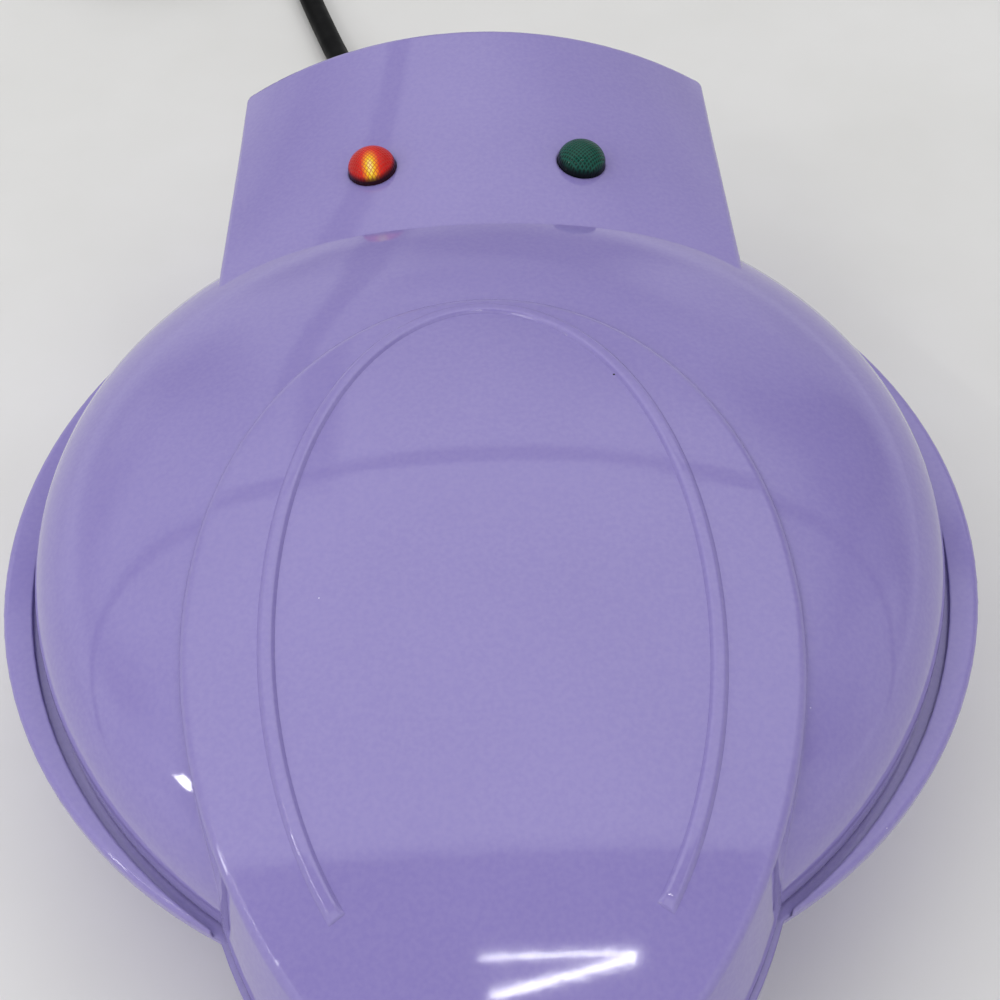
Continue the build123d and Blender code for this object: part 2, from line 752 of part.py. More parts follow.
def plate():
    """A cooking plate, face up at z = 0: twelve cavities, skirt, ears, posts and the element's seat."""
    clamp_depth = element_depth + element_tube_r
    body = rod(0, 0, -plate_t, 0, plate_r)
    body = body + (rod(0, 0, -plate_skirt, 0, plate_r) - rod(0, 0, -plate_skirt, 0, plate_r - skirt_t))
    seat = element_depth - element_tube_r
    ring = rod(0, 0, -seat, 0, element_r + 3.0) - rod(0, 0, -seat, 0, element_r - 3.0)
    body = body + ring
    body = body + balls(cavity_r + cup_wall)
    body = body & cut_block(-big, big, -big, big, -big, 0)
    body = body + rod(0, 0, -clamp_depth, 0, post_r)
    body = body + [rod(*polar(post_ring_r, a), -shield_depth, 0, post_r) for a in post_angles]
    ear = cut_block(ear_inner_r, ear_outer_r, -ear_half, ear_half, -ear_depth - ear_t, -ear_depth)
    body = body + [Rot(0, 0, a) * ear for a in ear_angles]
    hole = screw_r + hole_clearance
    body = body - balls(cavity_r)
    body = body - [rod(*polar(ear_r, a), -ear_depth - ear_t - 1, -ear_depth + 1, hole) for a in ear_angles]
    shield_hole = shield_depth - screw_len + shield_t - 0.4
    body = body - [rod(*polar(post_ring_r, a), -shield_depth - 1, -shield_hole, hole) for a in post_angles]
    return body - rod(0, 0, -clamp_depth - 1, -clamp_depth - clamp_t + screw_len + 0.4, hole)


def element():
    """The heating element: a tube bent into a ring that is open at the rear, with two pins."""
    bend_x = element_tail_x + element_bend
    reach = element_r + element_bend
    bend_y = sqrt(reach**2 - bend_x**2)
    tangent_angle = degrees(atan2(bend_y, bend_x))
    touch = polar(element_r, tangent_angle)
    tail_top = (element_tail_x, element_tail_end)
    main = CenterArc((0, 0), element_r, 180 - tangent_angle, 360 - (180 - 2 * tangent_angle))
    right_bend = CenterArc((bend_x, bend_y), element_bend, 180, tangent_angle)
    left_bend = mirror(right_bend, about=Plane.YZ)
    right_tail = Line((element_tail_x, bend_y), tail_top)
    left_tail = Line((-element_tail_x, bend_y), (-element_tail_x, element_tail_end))
    assert abs(hypot(*touch) - element_r) < 1e-6
    path = Wire([*main.edges(), *right_bend.edges(), *left_bend.edges(), *right_tail.edges(), *left_tail.edges()])
    path = Pos(0, 0, -element_depth) * path
    place = Plane((-element_tail_x, element_tail_end, -element_depth), z_dir=(0, 1, 0))
    tube = sweep(place * Circle(element_tube_r), path=path)
    pins = []
    for side in (-1, 1):
        x = side * element_tail_x
        end = element_tail_end
        pins.append(rod_y(x, end - 0.5, end + element_pin_len, -element_depth, element_pin_r))
        pins.append(rod_y(x, end, end + 1.6, -element_depth, element_pin_r + 1.0))
    return tube + pins


def element_clamp():
    """The three-armed star that presses the element against its seat."""
    depth = element_depth + element_tube_r
    arm = cut_block(0, clamp_reach, -clamp_half, clamp_half, -depth - clamp_t, -depth)
    star = rod(0, 0, -depth - clamp_t, -depth, clamp_half + 3)
    star = star + [Rot(0, 0, a) * arm for a in (30, 150, 270)]
    return star - rod(0, 0, -depth - clamp_t - 1, -depth + 1, screw_r + hole_clearance)


def heat_shield():
    """The thin dish behind the element."""
    t = shield_t
    d = shield_depth
    inner = [(0, -d), (shield_floor_r - 0.3, -d), (shield_wall_r - t, -shield_shoulder - 0.2), (shield_wall_r - t, -shield_lip)]
    outer = [(shield_wall_r, -shield_lip), (shield_wall_r, -shield_shoulder - 0.5), (shield_floor_r, -d - t), (0, -d - t)]
    dish = revolve(Plane.XZ * make_face(Polyline(*inner, *outer, close=True)), axis=Axis.Z)
    dish = dish - cut_block(-9, 9, shield_floor_r - 4, shield_wall_r + 4, -element_depth - element_tube_r - 1.5, -shield_lip + 1)
    holes = [rod(*polar(post_ring_r, a), -d - 2, -d + 1, screw_r + hole_clearance) for a in post_angles]
    return dish - holes


def screw(shank_r, length, head_r, head_h):
    """A pan-head screw standing head down at the origin, its slot in the underside."""
    head = rod(0, 0, -head_h, 0, head_r)
    rim = [e for e in head.edges() if e.geom_type == GeomType.CIRCLE and e.center().Z < -head_h + 0.1]
    head = fillet(rim, head_h * 0.35)
    slot = cut_block(-head_r - 1, head_r + 1, -slot_width / 2, slot_width / 2, -head_h - 1, -head_h + slot_depth)
    return (head - slot) + rod(0, 0, -0.2, length, shank_r)


def plate_screws():
    """The seven equal screws of one cooking module."""
    one = screw(screw_r, screw_len, screw_head_r, screw_head_h)
    places = [(*polar(ear_r, a), -ear_depth - ear_t) for a in ear_angles]
    places += [(*polar(post_ring_r, a), -shield_depth - shield_t) for a in post_angles]
    places.append((0, 0, -element_depth - element_tube_r - clamp_t))
    return [Pos(*p) * one for p in places]


def small_screws(points, z):
    """Equal small screws that stand head down below one height."""
    one = screw(small_screw_r, small_len, small_head_r, small_head_h)
    return [Pos(x, y, z) * one for x, y in points]


def lower(shape):
    """Places a module's part in the base."""
    return Pos(0, 0, low_face_z) * shape


def upper(shape):
    """Places a module's part in the lid, turned over."""
    return Pos(0, 0, top_face_z) * Rot(0, 180, 0) * shape


def thermostat():
    """The round switch under the lower plate, with its two tabs."""
    x, y = polar(plate_r - 12.5, 50)
    body = rod(x, y, -12.6, -plate_t, 7.0)
    cap = rod(x, y, -15.0, -12.4, 5.0)
    tabs = [cut_block(x + s - 0.4, x + s + 0.4, y - 2.0, y + 2.0, -20.0, -14.8) for s in (-3.2, 3.2)]
    return body + cap + tabs


def thermal_fuse():
    """The fuse under the lower heat shield, on its mounting strap."""
    z = -shield_depth - shield_t
    strap = cut_block(-9, 9, -3, 3, z - 0.8, z)
    body = rod_x(-6, 6, 0, z - 2.4, 2.0)
    pins = rod_x(-10, 10, 0, z - 2.4, 0.6)
    return Pos(0, shield_floor_r - 24, 0) * (strap + body + pins)


def lens():
    """A lamp lens: a low domed button outside, a collar inside, hollow for the lamp."""
    sphere_r = (lens_r**2 + lens_dome**2) / (2 * lens_dome)
    cap = Pos(0, 0, lens_proud + lens_dome - sphere_r) * Sphere(sphere_r)
    cap = cap & rod(0, 0, lens_proud, lens_proud + 5, lens_r)
    stem = rod(0, 0, -wall - 0.2, lens_proud, lens_r)
    collar = rod(0, 0, -wall - lens_collar_t, -wall, lens_collar_r)
    body = cap + stem + collar
    return body - rod(0, 0, -20, -1.2, lens_bore_r)


def lamp(side):
    """One lamp behind its lens."""
    bulb = rod(0, 0, -bulb_len + 1, -2.5, bulb_r)
    top = [e for e in bulb.edges() if e.geom_type == GeomType.CIRCLE and e.center().Z > -3]
    return lamp_place(side) * fillet(top, 1.6)


def lamp_bracket():
    """The strip that carries the two lamps, screwed to posts under the housing's top."""
    half_w = bracket_width / 2
    strip = cut_block(-bracket_half, bracket_half, bracket_y - half_w, bracket_y + half_w, bracket_z, bracket_z + bracket_t)
    for side in (-1, 1):
        sleeve = lamp_place(side) * rod(0, 0, -30, -bulb_len + 1 + sleeve_len, sleeve_r)
        strip = strip + (sleeve & cut_block(-big, big, -big, big, bracket_z, egg_z))
        strip = strip - lamp_place(side) * rod(0, 0, -bulb_len + 1, 0, bulb_r + 0.05)
        x = side * bracket_post_x
        strip = strip - rod(x, bracket_y, bracket_z - 1, bracket_z + 5, small_screw_r + hole_clearance)
    return strip


def wire(points, radius, bend):
    """A lead: a round bar along straight runs with rounded corners."""
    path = FilletPolyline(*points, radius=bend)
    first = Vector(*points[0])
    ahead = Vector(*points[1]) - first
    return sweep(Plane(first, z_dir=ahead) * Circle(radius), path=path)


def upper_leads():
    """Two leads from the upper element's pins to the lamps' strip."""
    end = element_tail_end + element_pin_len
    z = top_face_z + element_depth
    route = [(element_tail_x, end, z), (element_tail_x, end + 9, z), (18, end + 16, z - 4), (22, end + 32, z - 7.5)]
    right = wire(route, 1.1, 4)
    return [right, mirror(right, about=Plane.YZ)]


def terminal_block():
    """The block that joins the cord to the inner leads."""
    y = house_back - 30.5
    block = cut_block(12, 42, y - 7, y + 7, cover_z + cover_t, 19.0)
    humps = [cut_block(12 + 10 * i + 1, 12 + 10 * i + 9, y - 4, y + 4, 18.5, 22.0) for i in range(3)]
    holes = [rod_y(17 + 10 * i, y - 8, y + 8, 13.5, 1.6) for i in range(3)]
    return block + humps - holes


def lower_leads():
    """Two leads from the lower element's pins down to the terminal block."""
    end = element_tail_end + element_pin_len
    z = low_face_z - element_depth
    y = house_back - 34.5
    low = [(17, y - 9, 13.5), (17, y, 13.5)]
    right = wire([(element_tail_x, end, z), (element_tail_x, end + 6, z), (16, y - 13, 22)] + low, 1.1, 3)
    low = [(27, y - 9, 13.5), (27, y, 13.5)]
    left = wire([(-element_tail_x, end, z), (-element_tail_x, end + 7, z), (20, y - 10, 26)] + low, 1.1, 3)
    return [right, left]


def cord_clamp():
    """The bar that presses the cord against its saddle."""
    x0 = cord_points[0][0]
    top = cord_points[0][2] - cord_r
    half = clamp_bar_width / 2
    bar = cut_block(x0 - clamp_bar_half, x0 + clamp_bar_half, clamp_bar_y - half, clamp_bar_y + half, top - clamp_bar_t, top)
    bar = fillet(bar.edges().filter_by(Axis.Z), 3.0)
    for side in (-1, 1):
        bar = bar - rod(x0 + side * clamp_post_x, clamp_bar_y, top - 10, top + 1, small_screw_r + hole_clearance)
    return bar


def cord_clamp_screws():
    """The two screws of the cord clamp."""
    x0 = cord_points[0][0]
    z = cord_points[0][2] - cord_r - clamp_bar_t
    return small_screws([(x0 - clamp_post_x, clamp_bar_y), (x0 + clamp_post_x, clamp_bar_y)], z)


def bottom_cover():
    """The flat plate that closes the base, with a ring of vent slots."""
    z = cover_z
    body = rod(0, 0, z, z + cover_t, foot_wall_r - wall - fit_gap)
    back = house_plan(house_half - house_side_wall - fit_gap, house_back - house_back_wall - fit_gap)
    body = body + extruded(back, z, z + cover_t)
    half = vent_width / 2
    slot = cut_block(vent_ring_r - vent_length / 2, vent_ring_r + vent_length / 2, -half, half, z - 1, z + 5)
    slot = slot + rod(vent_ring_r - vent_length / 2, 0, z - 1, z + 5, half)
    slot = slot + rod(vent_ring_r + vent_length / 2, 0, z - 1, z + 5, half)
    body = body - [Rot(0, 0, 360 / vent_count * i) * slot for i in range(vent_count)]
    holes = [rod(x, y, z - 1, z + 5, small_screw_r + hole_clearance) for x, y in cover_screw_points()]
    holes += [rod(x, y, z - 1, z + 5, foot_stem_r + hole_clearance) for x, y in foot_points()]
    return body - holes


def rubber_feet():
    """The four feet: a pad below the cover and a stem pushed through it."""
    feet = []
    for x, y in foot_points():
        pad = rod(x, y, 0, cover_z, foot_r)
        rim = [e for e in pad.edges() if e.geom_type == GeomType.CIRCLE and e.center().Z < 0.1]
        pad = fillet(rim, 1.2)
        stem = rod(x, y, cover_z - 0.5, cover_z + cover_t + 0.1, foot_stem_r)
        top = cover_z + cover_t
        bulge = rod(x, y, top, top + 2.0, foot_stem_r + 0.7)
        feet.append(pad + stem + bulge)
    return feet


def handle_latch():
    """The clip at the nose, modelled latched, then turned outward to its rest position."""
    barrel_bar = rod_x(-latch_half, latch_half, latch_y, latch_z, latch_barrel_r)
    grip_nose = egg_y - grip_front
    back = grip_nose - latch_face_gap
    front = back - latch_plate_t
    hook_top = grip_bottom - latch_hook_gap
    hook_low = hook_top - latch_hook_t
    face = cut_block(-latch_half, latch_half, front, back, hook_low, latch_z + latch_tab)
    hook = cut_block(-latch_half, latch_half, front, grip_nose + latch_hook_reach, hook_low, hook_top)
    link = cut_block(-latch_half, latch_half, front, latch_y, latch_z - latch_barrel_r + 0.6, latch_z + latch_barrel_r - 0.6)
    clip = face + hook
    edges = [e for e in clip.edges().filter_by(Axis.X) if e.center().Y < front + 0.1]
    clip = fillet(edges, 1.2)
    clip = clip + link + barrel_bar
    clip = clip - rod_x(-latch_half - 1, latch_half + 1, latch_y, latch_z, latch_pin_r + pin_clearance)
    pivot = Pos(0, latch_y, latch_z)
    return pivot * Rot(-latch_open_deg, 0, 0) * Pos(0, -latch_y, -latch_z) * clip


def latch_pin():
    """The pin between the nose ears."""
    end = latch_half + latch_gap + latch_ear_t - 0.2
    return rod_x(-end, end, latch_y, latch_z, latch_pin_r)


def strain_relief():
    """The ribbed rubber sleeve where the cord leaves the rear wall."""
    x0 = cord_points[0][0]
    z0 = cord_points[0][2]
    inner_face = house_back - house_back_wall
    flange = rod_y(x0, inner_face - relief_flange_t, inner_face, z0, relief_flange_r)
    neck = rod_y(x0, inner_face - 0.5, house_back + 0.5, z0, relief_neck_r)
    cone = Cone(relief_root_r, relief_tip_r, relief_length)
    cone = Pos(x0, house_back + relief_length / 2, z0) * Rot(-90, 0, 0) * cone
    body = flange + neck + cone
    pitch = relief_length / (relief_rings + 1)
    for i in range(1, relief_rings + 1):
        y = house_back + pitch * i
        ring = rod_y(x0, y - 1.0, y + 1.0, z0, 12) - rod_y(x0, y - 1.0, y + 1.0, z0, relief_tip_r - 0.3)
        body = body - ring
    return body - rod_y(x0, inner_face - 5, house_back + relief_length + 1, z0, cord_r + relief_bore_gap)


def bend_radii():
    """The widest arc each corner of the cord's route has room for."""
    points = [Vector(*p) for p in cord_points]
    radii = []
    for before, corner, after in zip(points, points[1:], points[2:]):
        run = min((corner - before).length, (after - corner).length)
        half_turn = radians((corner - before).get_angle(after - corner)) / 2
        radii.append(bend_share * run / tan(half_turn))
    return radii


def power_cord():
    """The part of the mains lead between the clamp and the coil."""
    path = FilletPolyline(*cord_points, radius=bend_radii())
    section = Plane(cord_points[0], z_dir=(0, 1, 0)) * Circle(cord_r)
    return sweep(section, path=path)


def unit(v):
    """A vector of length one."""
    return Vector(*v).normalized()


def biarc(p, tp, q, tq):
    """Two arcs that join two points and keep both directions."""
    v = q - p
    t = tp + tq
    a = 2 * (1 - tp.dot(tq))
    if a < 1e-9:
        return [Edge.make_line(p, q)]
    d = (-v.dot(t) + sqrt(v.dot(t) ** 2 + a * v.dot(v))) / a
    m = (p + tp * d + q - tq * d) * 0.5
    tm = ((q - tq * d) - (p + tp * d)).normalized()
    if tp.dot(tm) > 1 - 1e-12:
        return [Edge.make_line(p, q)]
    return [Edge.make_tangent_arc(p, tp, m), Edge.make_tangent_arc(m, tm, q)]


def coil_state(turn):
    """Centre line of the coil before it is placed: a point and a direction at an angle in degrees."""
    inner = coil_r - coil_pitch / 2
    radius = (coil_r, inner, inner, coil_r)[min(int(turn // 180), 3)]
    centre = radius - 2 * coil_r
    a = radians(turn)
    start = 360 + coil_climb_from
    along = min(max((turn - start) / coil_climb, 0.0), 1.0)
    rise = 2 * along**2 if along < 0.5 else 1 - 2 * (1 - along) ** 2
    slope = 4 * min(along, 1 - along)
    per_mm = slope * coil_layer / (radians(coil_climb) * inner)
    point = Vector(centre + radius * cos(a), radius * sin(a), coil_layer * rise)
    return point, Vector(-sin(a), cos(a), per_mm).normalized()


def coil_line():
    """The coil's centre line before it is placed, as edges, and where it ends."""
    lead = 2 * cord_r
    start = 360 + coil_climb_from
    stations = [0, 90, 180, 270, start, start + coil_climb / 2, start + coil_climb, 450, 540, 630, 720]
    states = [coil_state(a) for a in stations]
    edges = [Edge.make_line(Vector(0, -lead, 0), Vector(0, 0, 0))]
    for (p, tp), (q, tq) in zip(states, states[1:]):
        edges += biarc(p, tp, q, tq)
    top = states[-1][0]
    ahead = Vector(0, 1, 0)
    level = top + ahead * coil_level
    edges.append(Edge.make_line(top, level))
    low = Vector(top.X, level.Y + coil_drop, plug_z - cord_points[-1][2])
    edges += biarc(level, ahead, low, ahead)
    last = low + ahead * lead
    edges.append(Edge.make_line(low, last))
    return edges, last


def coil_place():
    """Where the coil starts: one lead length past the cord's last point, in the cord's direction."""
    end = Vector(*cord_points[-1])
    ahead = (end - Vector(*cord_points[-2])).normalized()
    turn = degrees(atan2(ahead.Y, ahead.X)) - 90
    return Location(end + ahead * (2 * cord_r)) * Rot(0, 0, turn)


def cord_coil():
    """The put-away rest of the lead: two loops in two layers, then a run down to the plug."""
    edges, last = coil_line()
    section = Plane((0, -2 * cord_r, 0), z_dir=(0, 1, 0)) * Circle(cord_r)
    return coil_place() * sweep(section, path=Wire(edges))


def coil_gap():
    """The least space between two turns of the coil."""
    edges, last = coil_line()
    points = []
    run = 0.0
    for edge in edges:
        count = max(2, int(edge.length / 1.5))
        for i in range(count):
            p = edge.position_at(i / count)
            points.append((run + edge.length * i / count, p.X, p.Y, p.Z))
        run += edge.length
    least = big
    for i, (s, x, y, z) in enumerate(points):
        for s2, x2, y2, z2 in points[i + 1:]:
            if s2 - s > 8 * cord_r:
                least = min(least, sqrt((x - x2) ** 2 + (y - y2) ** 2 + (z - z2) ** 2))
    return least - 2 * cord_r, run


def plug_place():
    """The plug's own frame: its cord end at the coil's end, its blades ahead."""
    edges, last = coil_line()
    return coil_place() * Pos(last.X, last.Y, last.Z)


def plug_body():
    """The moulded plug with its tapered sleeve."""
    grip_bar = Pos(0, plug_relief + plug_length / 2, 0) * Box(2 * plug_half_w, plug_length, 2 * plug_half_h)
    grip_bar = fillet(grip_bar.edges(), 2.4)
    sleeve = Pos(0, plug_relief / 2 + 0.5, 0) * Rot(-90, 0, 0) * Cone(cord_r + 0.9, plug_relief_r, plug_relief + 1)
    front = plug_relief + plug_length
    body = grip_bar + sleeve
    slots = [rod_y(0, y - 0.8, y + 0.8, 0, 12) - rod_y(0, y - 0.8, y + 0.8, 0, cord_r + 0.5) for y in (5, 10, 15)]
    body = body - slots
    for side in (-1, 1):
        body = body - blade(side, front)
    return plug_place() * body


def blade(side, front):
    """One flat blade of the plug, its root inside the body."""
    x = side * blade_gap / 2
    bar = cut_block(x - blade_t / 2, x + blade_t / 2, front - 6, front + blade_length, -blade_width / 2, blade_width / 2)
    tip = [e for e in bar.edges().filter_by(Axis.X) if e.center().Y > front + 1]
    return fillet(tip, 1.6)


def plug_blades():
    """The plug's two blades."""
    front = plug_relief + plug_length
    return [plug_place() * blade(side, front) for side in (-1, 1)]


def frame_screws():
    """The screws that hold the frame in the lid."""
    return small_screws(frame_screw_points(), lid_z + frame_inset + frame_bore)


def bracket_screws():
    """The two screws of the lamps' strip."""
    return small_screws([(-bracket_post_x, bracket_y), (bracket_post_x, bracket_y)], bracket_z)


def cover_screws():
    """The screws of the bottom cover."""
    return small_screws(cover_screw_points(), cover_z)


def cord_report():
    """Prints the cord's bend radii and the coil's least space."""
    gap, length = coil_gap()
    radii = ["%.0f" % r for r in bend_radii()]
    print("cord bend radii mm:", radii, "five diameters:", 10 * cord_r)
    print("coil length mm: %.1f  least gap between turns mm: %.2f" % (length, gap))
    print("coil across at mid turn, diameters: %.2f" % ((2 * coil_r - coil_pitch / 2) / (2 * cord_r)))


def make_nodes():
    """Every node of the object with its solids."""
    nodes = {
        "lid_shell": lid_shell(),
        "lid_frame": lid_frame(),
        "lid_frame_screws": frame_screws(),
        "upper_cooking_plate": upper(plate()),
        "upper_heating_element": upper(element()),
        "upper_element_clamp": upper(element_clamp()),
        "upper_heat_shield": upper(heat_shield()),
        "upper_plate_screws": [upper(s) for s in plate_screws()],
        "power_lens": lamp_place(-1) * lens(),
        "ready_lens": lamp_place(1) * lens(),
        "indicator_lamps": [lamp(-1), lamp(1)],
        "lamp_bracket": lamp_bracket(),
        "lamp_bracket_screws": bracket_screws(),
        "upper_leads": upper_leads(),
        "latch_pin": latch_pin(),
        "handle_latch": handle_latch(),
        "base_shell": base_shell(),
        "lower_cooking_plate": lower(plate()),
        "lower_heating_element": lower(element()),
        "lower_element_clamp": lower(element_clamp()),
        "lower_heat_shield": lower(heat_shield()),
        "lower_plate_screws": [lower(s) for s in plate_screws()],
        "thermostat": lower(thermostat()),
        "thermal_fuse": lower(thermal_fuse()),
        "terminal_block": terminal_block(),
        "lower_leads": lower_leads(),
        "cord_clamp": cord_clamp(),
        "cord_clamp_screws": cord_clamp_screws(),
        "bottom_cover": bottom_cover(),
        "cover_screws": cover_screws(),
        "rubber_feet": rubber_feet(),
        "hinge_pins": hinge_pins(),
        "strain_relief": strain_relief(),
        "power_cord": power_cord(),
        "cord_coil": cord_coil(),
        "plug_body": plug_body(),
        "plug_blades": plug_blades(),
    }
    return nodes


def write_parts():
    """Moves the object over its own middle and writes one file per node."""
    cord_side = ("strain_relief", "power_cord", "cord_coil", "plug_body", "plug_blades")
    nodes = make_nodes()
    low = big
    high = -big
    for name, shape in nodes.items():
        if isinstance(shape, list):
            shape = Compound([solid for item in shape for solid in item.solids()])
            nodes[name] = shape
        if name not in cord_side:
            box = shape.bounding_box()
            low = min(low, box.min.Y)
            high = max(high, box.max.Y)
    shift = -(low + high) / 2
    print("shift along Y mm: %.4f" % shift)
    print("hinge at y %.4f z %.4f  latch at y %.4f z %.4f" % (hinge_y + shift, hinge_z, latch_y + shift, latch_z))
    os.makedirs("parts", exist_ok=True)
    for name, shape in nodes.items():
        export_step(Pos(0, shift, 0) * shape, "parts/" + name + ".step")
        print(name, len(shape.solids()), "%.1f" % shape.volume)
    cord_report()


if __name__ == "__main__":
    write_parts()
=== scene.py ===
from math import atan2, cos, pi, radians, sin, sqrt

import bpy
from mathutils import Matrix, Vector


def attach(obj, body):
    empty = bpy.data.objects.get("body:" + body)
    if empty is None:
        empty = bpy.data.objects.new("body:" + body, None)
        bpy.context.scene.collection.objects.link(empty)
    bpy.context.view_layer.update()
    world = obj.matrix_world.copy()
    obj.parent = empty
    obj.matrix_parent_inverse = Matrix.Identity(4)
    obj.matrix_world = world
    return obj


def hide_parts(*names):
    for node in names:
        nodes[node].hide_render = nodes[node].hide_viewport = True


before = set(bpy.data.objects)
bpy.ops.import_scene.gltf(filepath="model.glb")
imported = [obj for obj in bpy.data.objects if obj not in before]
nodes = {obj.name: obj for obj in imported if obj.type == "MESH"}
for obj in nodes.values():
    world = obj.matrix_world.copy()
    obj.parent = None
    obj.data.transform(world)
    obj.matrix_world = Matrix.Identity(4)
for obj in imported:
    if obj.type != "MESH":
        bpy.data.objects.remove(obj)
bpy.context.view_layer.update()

# Everything here is in metres, in the row frame: the handle towards -Y, the table at z = 0.
MM = 0.001
BODY_Y = -1.0502 * MM      # axis of the round body
RIM_Z = 52.0 * MM          # top of the base's flange


def linear(hex_colour):
    """An sRGB hex colour as linear RGBA."""
    channels = [int(hex_colour[i:i + 2], 16) / 255 for i in (0, 2, 4)]
    return [c / 12.92 if c <= 0.04045 else ((c + 0.055) / 1.055) ** 2.4 for c in channels] + [1.0]


def add(tree, kind, settings=None, links=None):
    """Adds a node. Settings are its properties or input values, links are sockets to join to its inputs."""
    made = tree.nodes.new(kind)
    for name, value in (settings or {}).items():
        if isinstance(name, str) and hasattr(made, name):
            setattr(made, name, value)
        else:
            made.inputs[name].default_value = value
    for name, socket in (links or {}).items():
        tree.links.new(socket, made.inputs[name])
    return made


def put(name, data):
    """Puts a mesh, a curve, a light or a camera into the scene."""
    made = bpy.data.objects.new(name, data)
    bpy.context.scene.collection.objects.link(made)
    return made


def new_material(name):
    """An empty material, its node tree and its Object coordinates."""
    made = bpy.data.materials.new(name)
    made.use_nodes = True
    made.node_tree.nodes.clear()
    place = add(made.node_tree, "ShaderNodeTexCoord")
    return made, made.node_tree, place.outputs["Object"]


def dress(tree, settings, links):
    """Gives a material its shader, joined to its output."""
    shader = add(tree, "ShaderNodeBsdfPrincipled", settings, links)
    add(tree, "ShaderNodeOutputMaterial", links={"Surface": shader.outputs["BSDF"]})


def patches(tree, place, size, detail, low, high, start=0.3, end=0.7):
    """A value that drifts from low to high between patches about size millimetres across."""
    cloud = add(tree, "ShaderNodeTexNoise", {"Scale": 1 / (size * MM), "Detail": detail}, {"Vector": place})
    return add(tree, "ShaderNodeMapRange", {"From Min": start, "From Max": end, "To Min": low, "To Max": high},
               {"Value": cloud.outputs["Fac"]}).outputs["Result"]


def relief(tree, place, size, detail, depth, strength, under=None):
    """A grain of a size and a depth in millimetres, on top of another normal where there is one."""
    cloud = add(tree, "ShaderNodeTexNoise", {"Scale": 1 / (size * MM), "Detail": detail}, {"Vector": place})
    links = {"Height": cloud.outputs["Fac"]} | ({"Normal": under} if under else {})
    return add(tree, "ShaderNodeBump", {"Strength": strength, "Distance": depth * MM}, links).outputs["Normal"]


def layered(tree, under, *layers):
    """A colour with others laid over it, each by an amount. A colour is a hex value or a socket."""
    for amount, over in layers:
        settings, links = {"data_type": "RGBA"}, {0: amount}
        for slot, colour in ((6, under), (7, over)):
            if isinstance(colour, str):
                settings[slot] = linear(colour)
            else:
                links[slot] = colour
        under = add(tree, "ShaderNodeMix", settings, links).outputs[2]
    return under


def specks(tree, place, spacing, radius, share):
    """Sparse round specks: 1 inside a speck, 0 elsewhere. Share is the part of the cells that holds one."""
    cells = add(tree, "ShaderNodeTexVoronoi", {"Scale": 1 / (spacing * MM)}, {"Vector": place})
    inside = add(tree, "ShaderNodeMath", {"operation": "LESS_THAN", 1: radius / spacing},
                 {0: cells.outputs["Distance"]})
    pick = add(tree, "ShaderNodeSeparateXYZ", links={"Vector": cells.outputs["Color"]})
    chosen = add(tree, "ShaderNodeMath", {"operation": "LESS_THAN", 1: share}, {0: pick.outputs["X"]})
    both = add(tree, "ShaderNodeMath", {"operation": "MULTIPLY"},
               {0: inside.outputs["Value"], 1: chosen.outputs["Value"]})
    return both.outputs["Value"]


LILAC = "8e82c1"
HAZE_WHITE = "ffffff"
DARK_DUST, PALE_DUST = "1b1626", "d9d4ea"
# Painted shade: a near-black laid into narrow crevices by their ambient occlusion.
CREVICE_SHADE = "0c0914"
CREVICE_SHADE_FROM, CREVICE_SHADE_TO = 0.02, 0.26     # shares of open surroundings between which the painted crevice shade fades out


def moulded_abs(name, colour, deep, roughness, edge, crevice=None):
    """Injection-moulded glossy ABS, as the lid and the base: the polished mould leaves a mirror-like skin with a
    faint orange peel; slow flow clouds, wiping haze, and a few dark and pale specks of dust break it up. Its
    moulded edges are soft, so they catch a thin line of light. Painted shade darkens its narrow crevices."""
    made, tree, place = new_material(name)
    tone = layered(tree, deep,
                   (patches(tree, place, 55.0, 2.0, 0.0, 1.0), colour),
                   (patches(tree, place, 1.2, 1.0, 0.0, 0.025), HAZE_WHITE),
                   (specks(tree, place, 26.0, 0.33, 0.16), DARK_DUST),
                   (specks(tree, place, 9.0, 0.16, 0.14), PALE_DUST))
    # Painted shade: ambient occlusion lays the near-black into narrow crevices.
    if crevice:
        shelter = add(tree, "ShaderNodeAmbientOcclusion", {"samples": 6, "Distance": crevice * MM})
        unshaded = add(tree, "ShaderNodeMapRange", {"From Min": CREVICE_SHADE_FROM, "From Max": CREVICE_SHADE_TO},
                    {"Value": shelter.outputs["AO"]})
        tone = layered(tree, CREVICE_SHADE, (unshaded.outputs["Result"], tone))
    haze = patches(tree, place, 38.0, 4.0, roughness * 0.75, roughness * 1.5)
    soft = add(tree, "ShaderNodeBevel", {"samples": 4, "Radius": edge * MM}).outputs["Normal"] if edge else None
    peel = relief(tree, place, 2.6, 1.0, 0.02, 0.3, soft)
    dress(tree, {"IOR": 1.57}, {"Base Color": tone, "Roughness": haze, "Normal": peel})
    return made


def textured_abs(name, colour, deep, roughness):
    """ABS from a spark-eroded mould, as the parts that a hand doesn't touch: dull, with a fine even grain. The
    grain is drawn at 0.7 mm, coarser than the real 0.2 mm, so that it shows."""
    made, tree, place = new_material(name)
    tone = layered(tree, deep, (patches(tree, place, 40.0, 2.0, 0.0, 1.0), colour))
    sparked = relief(tree, place, 0.7, 3.0, 0.05, 0.5)
    rough = patches(tree, place, 4.0, 2.0, roughness * 0.85, roughness * 1.15)
    dress(tree, {"IOR": 1.53}, {"Base Color": tone, "Roughness": rough, "Normal": sparked})
    return made


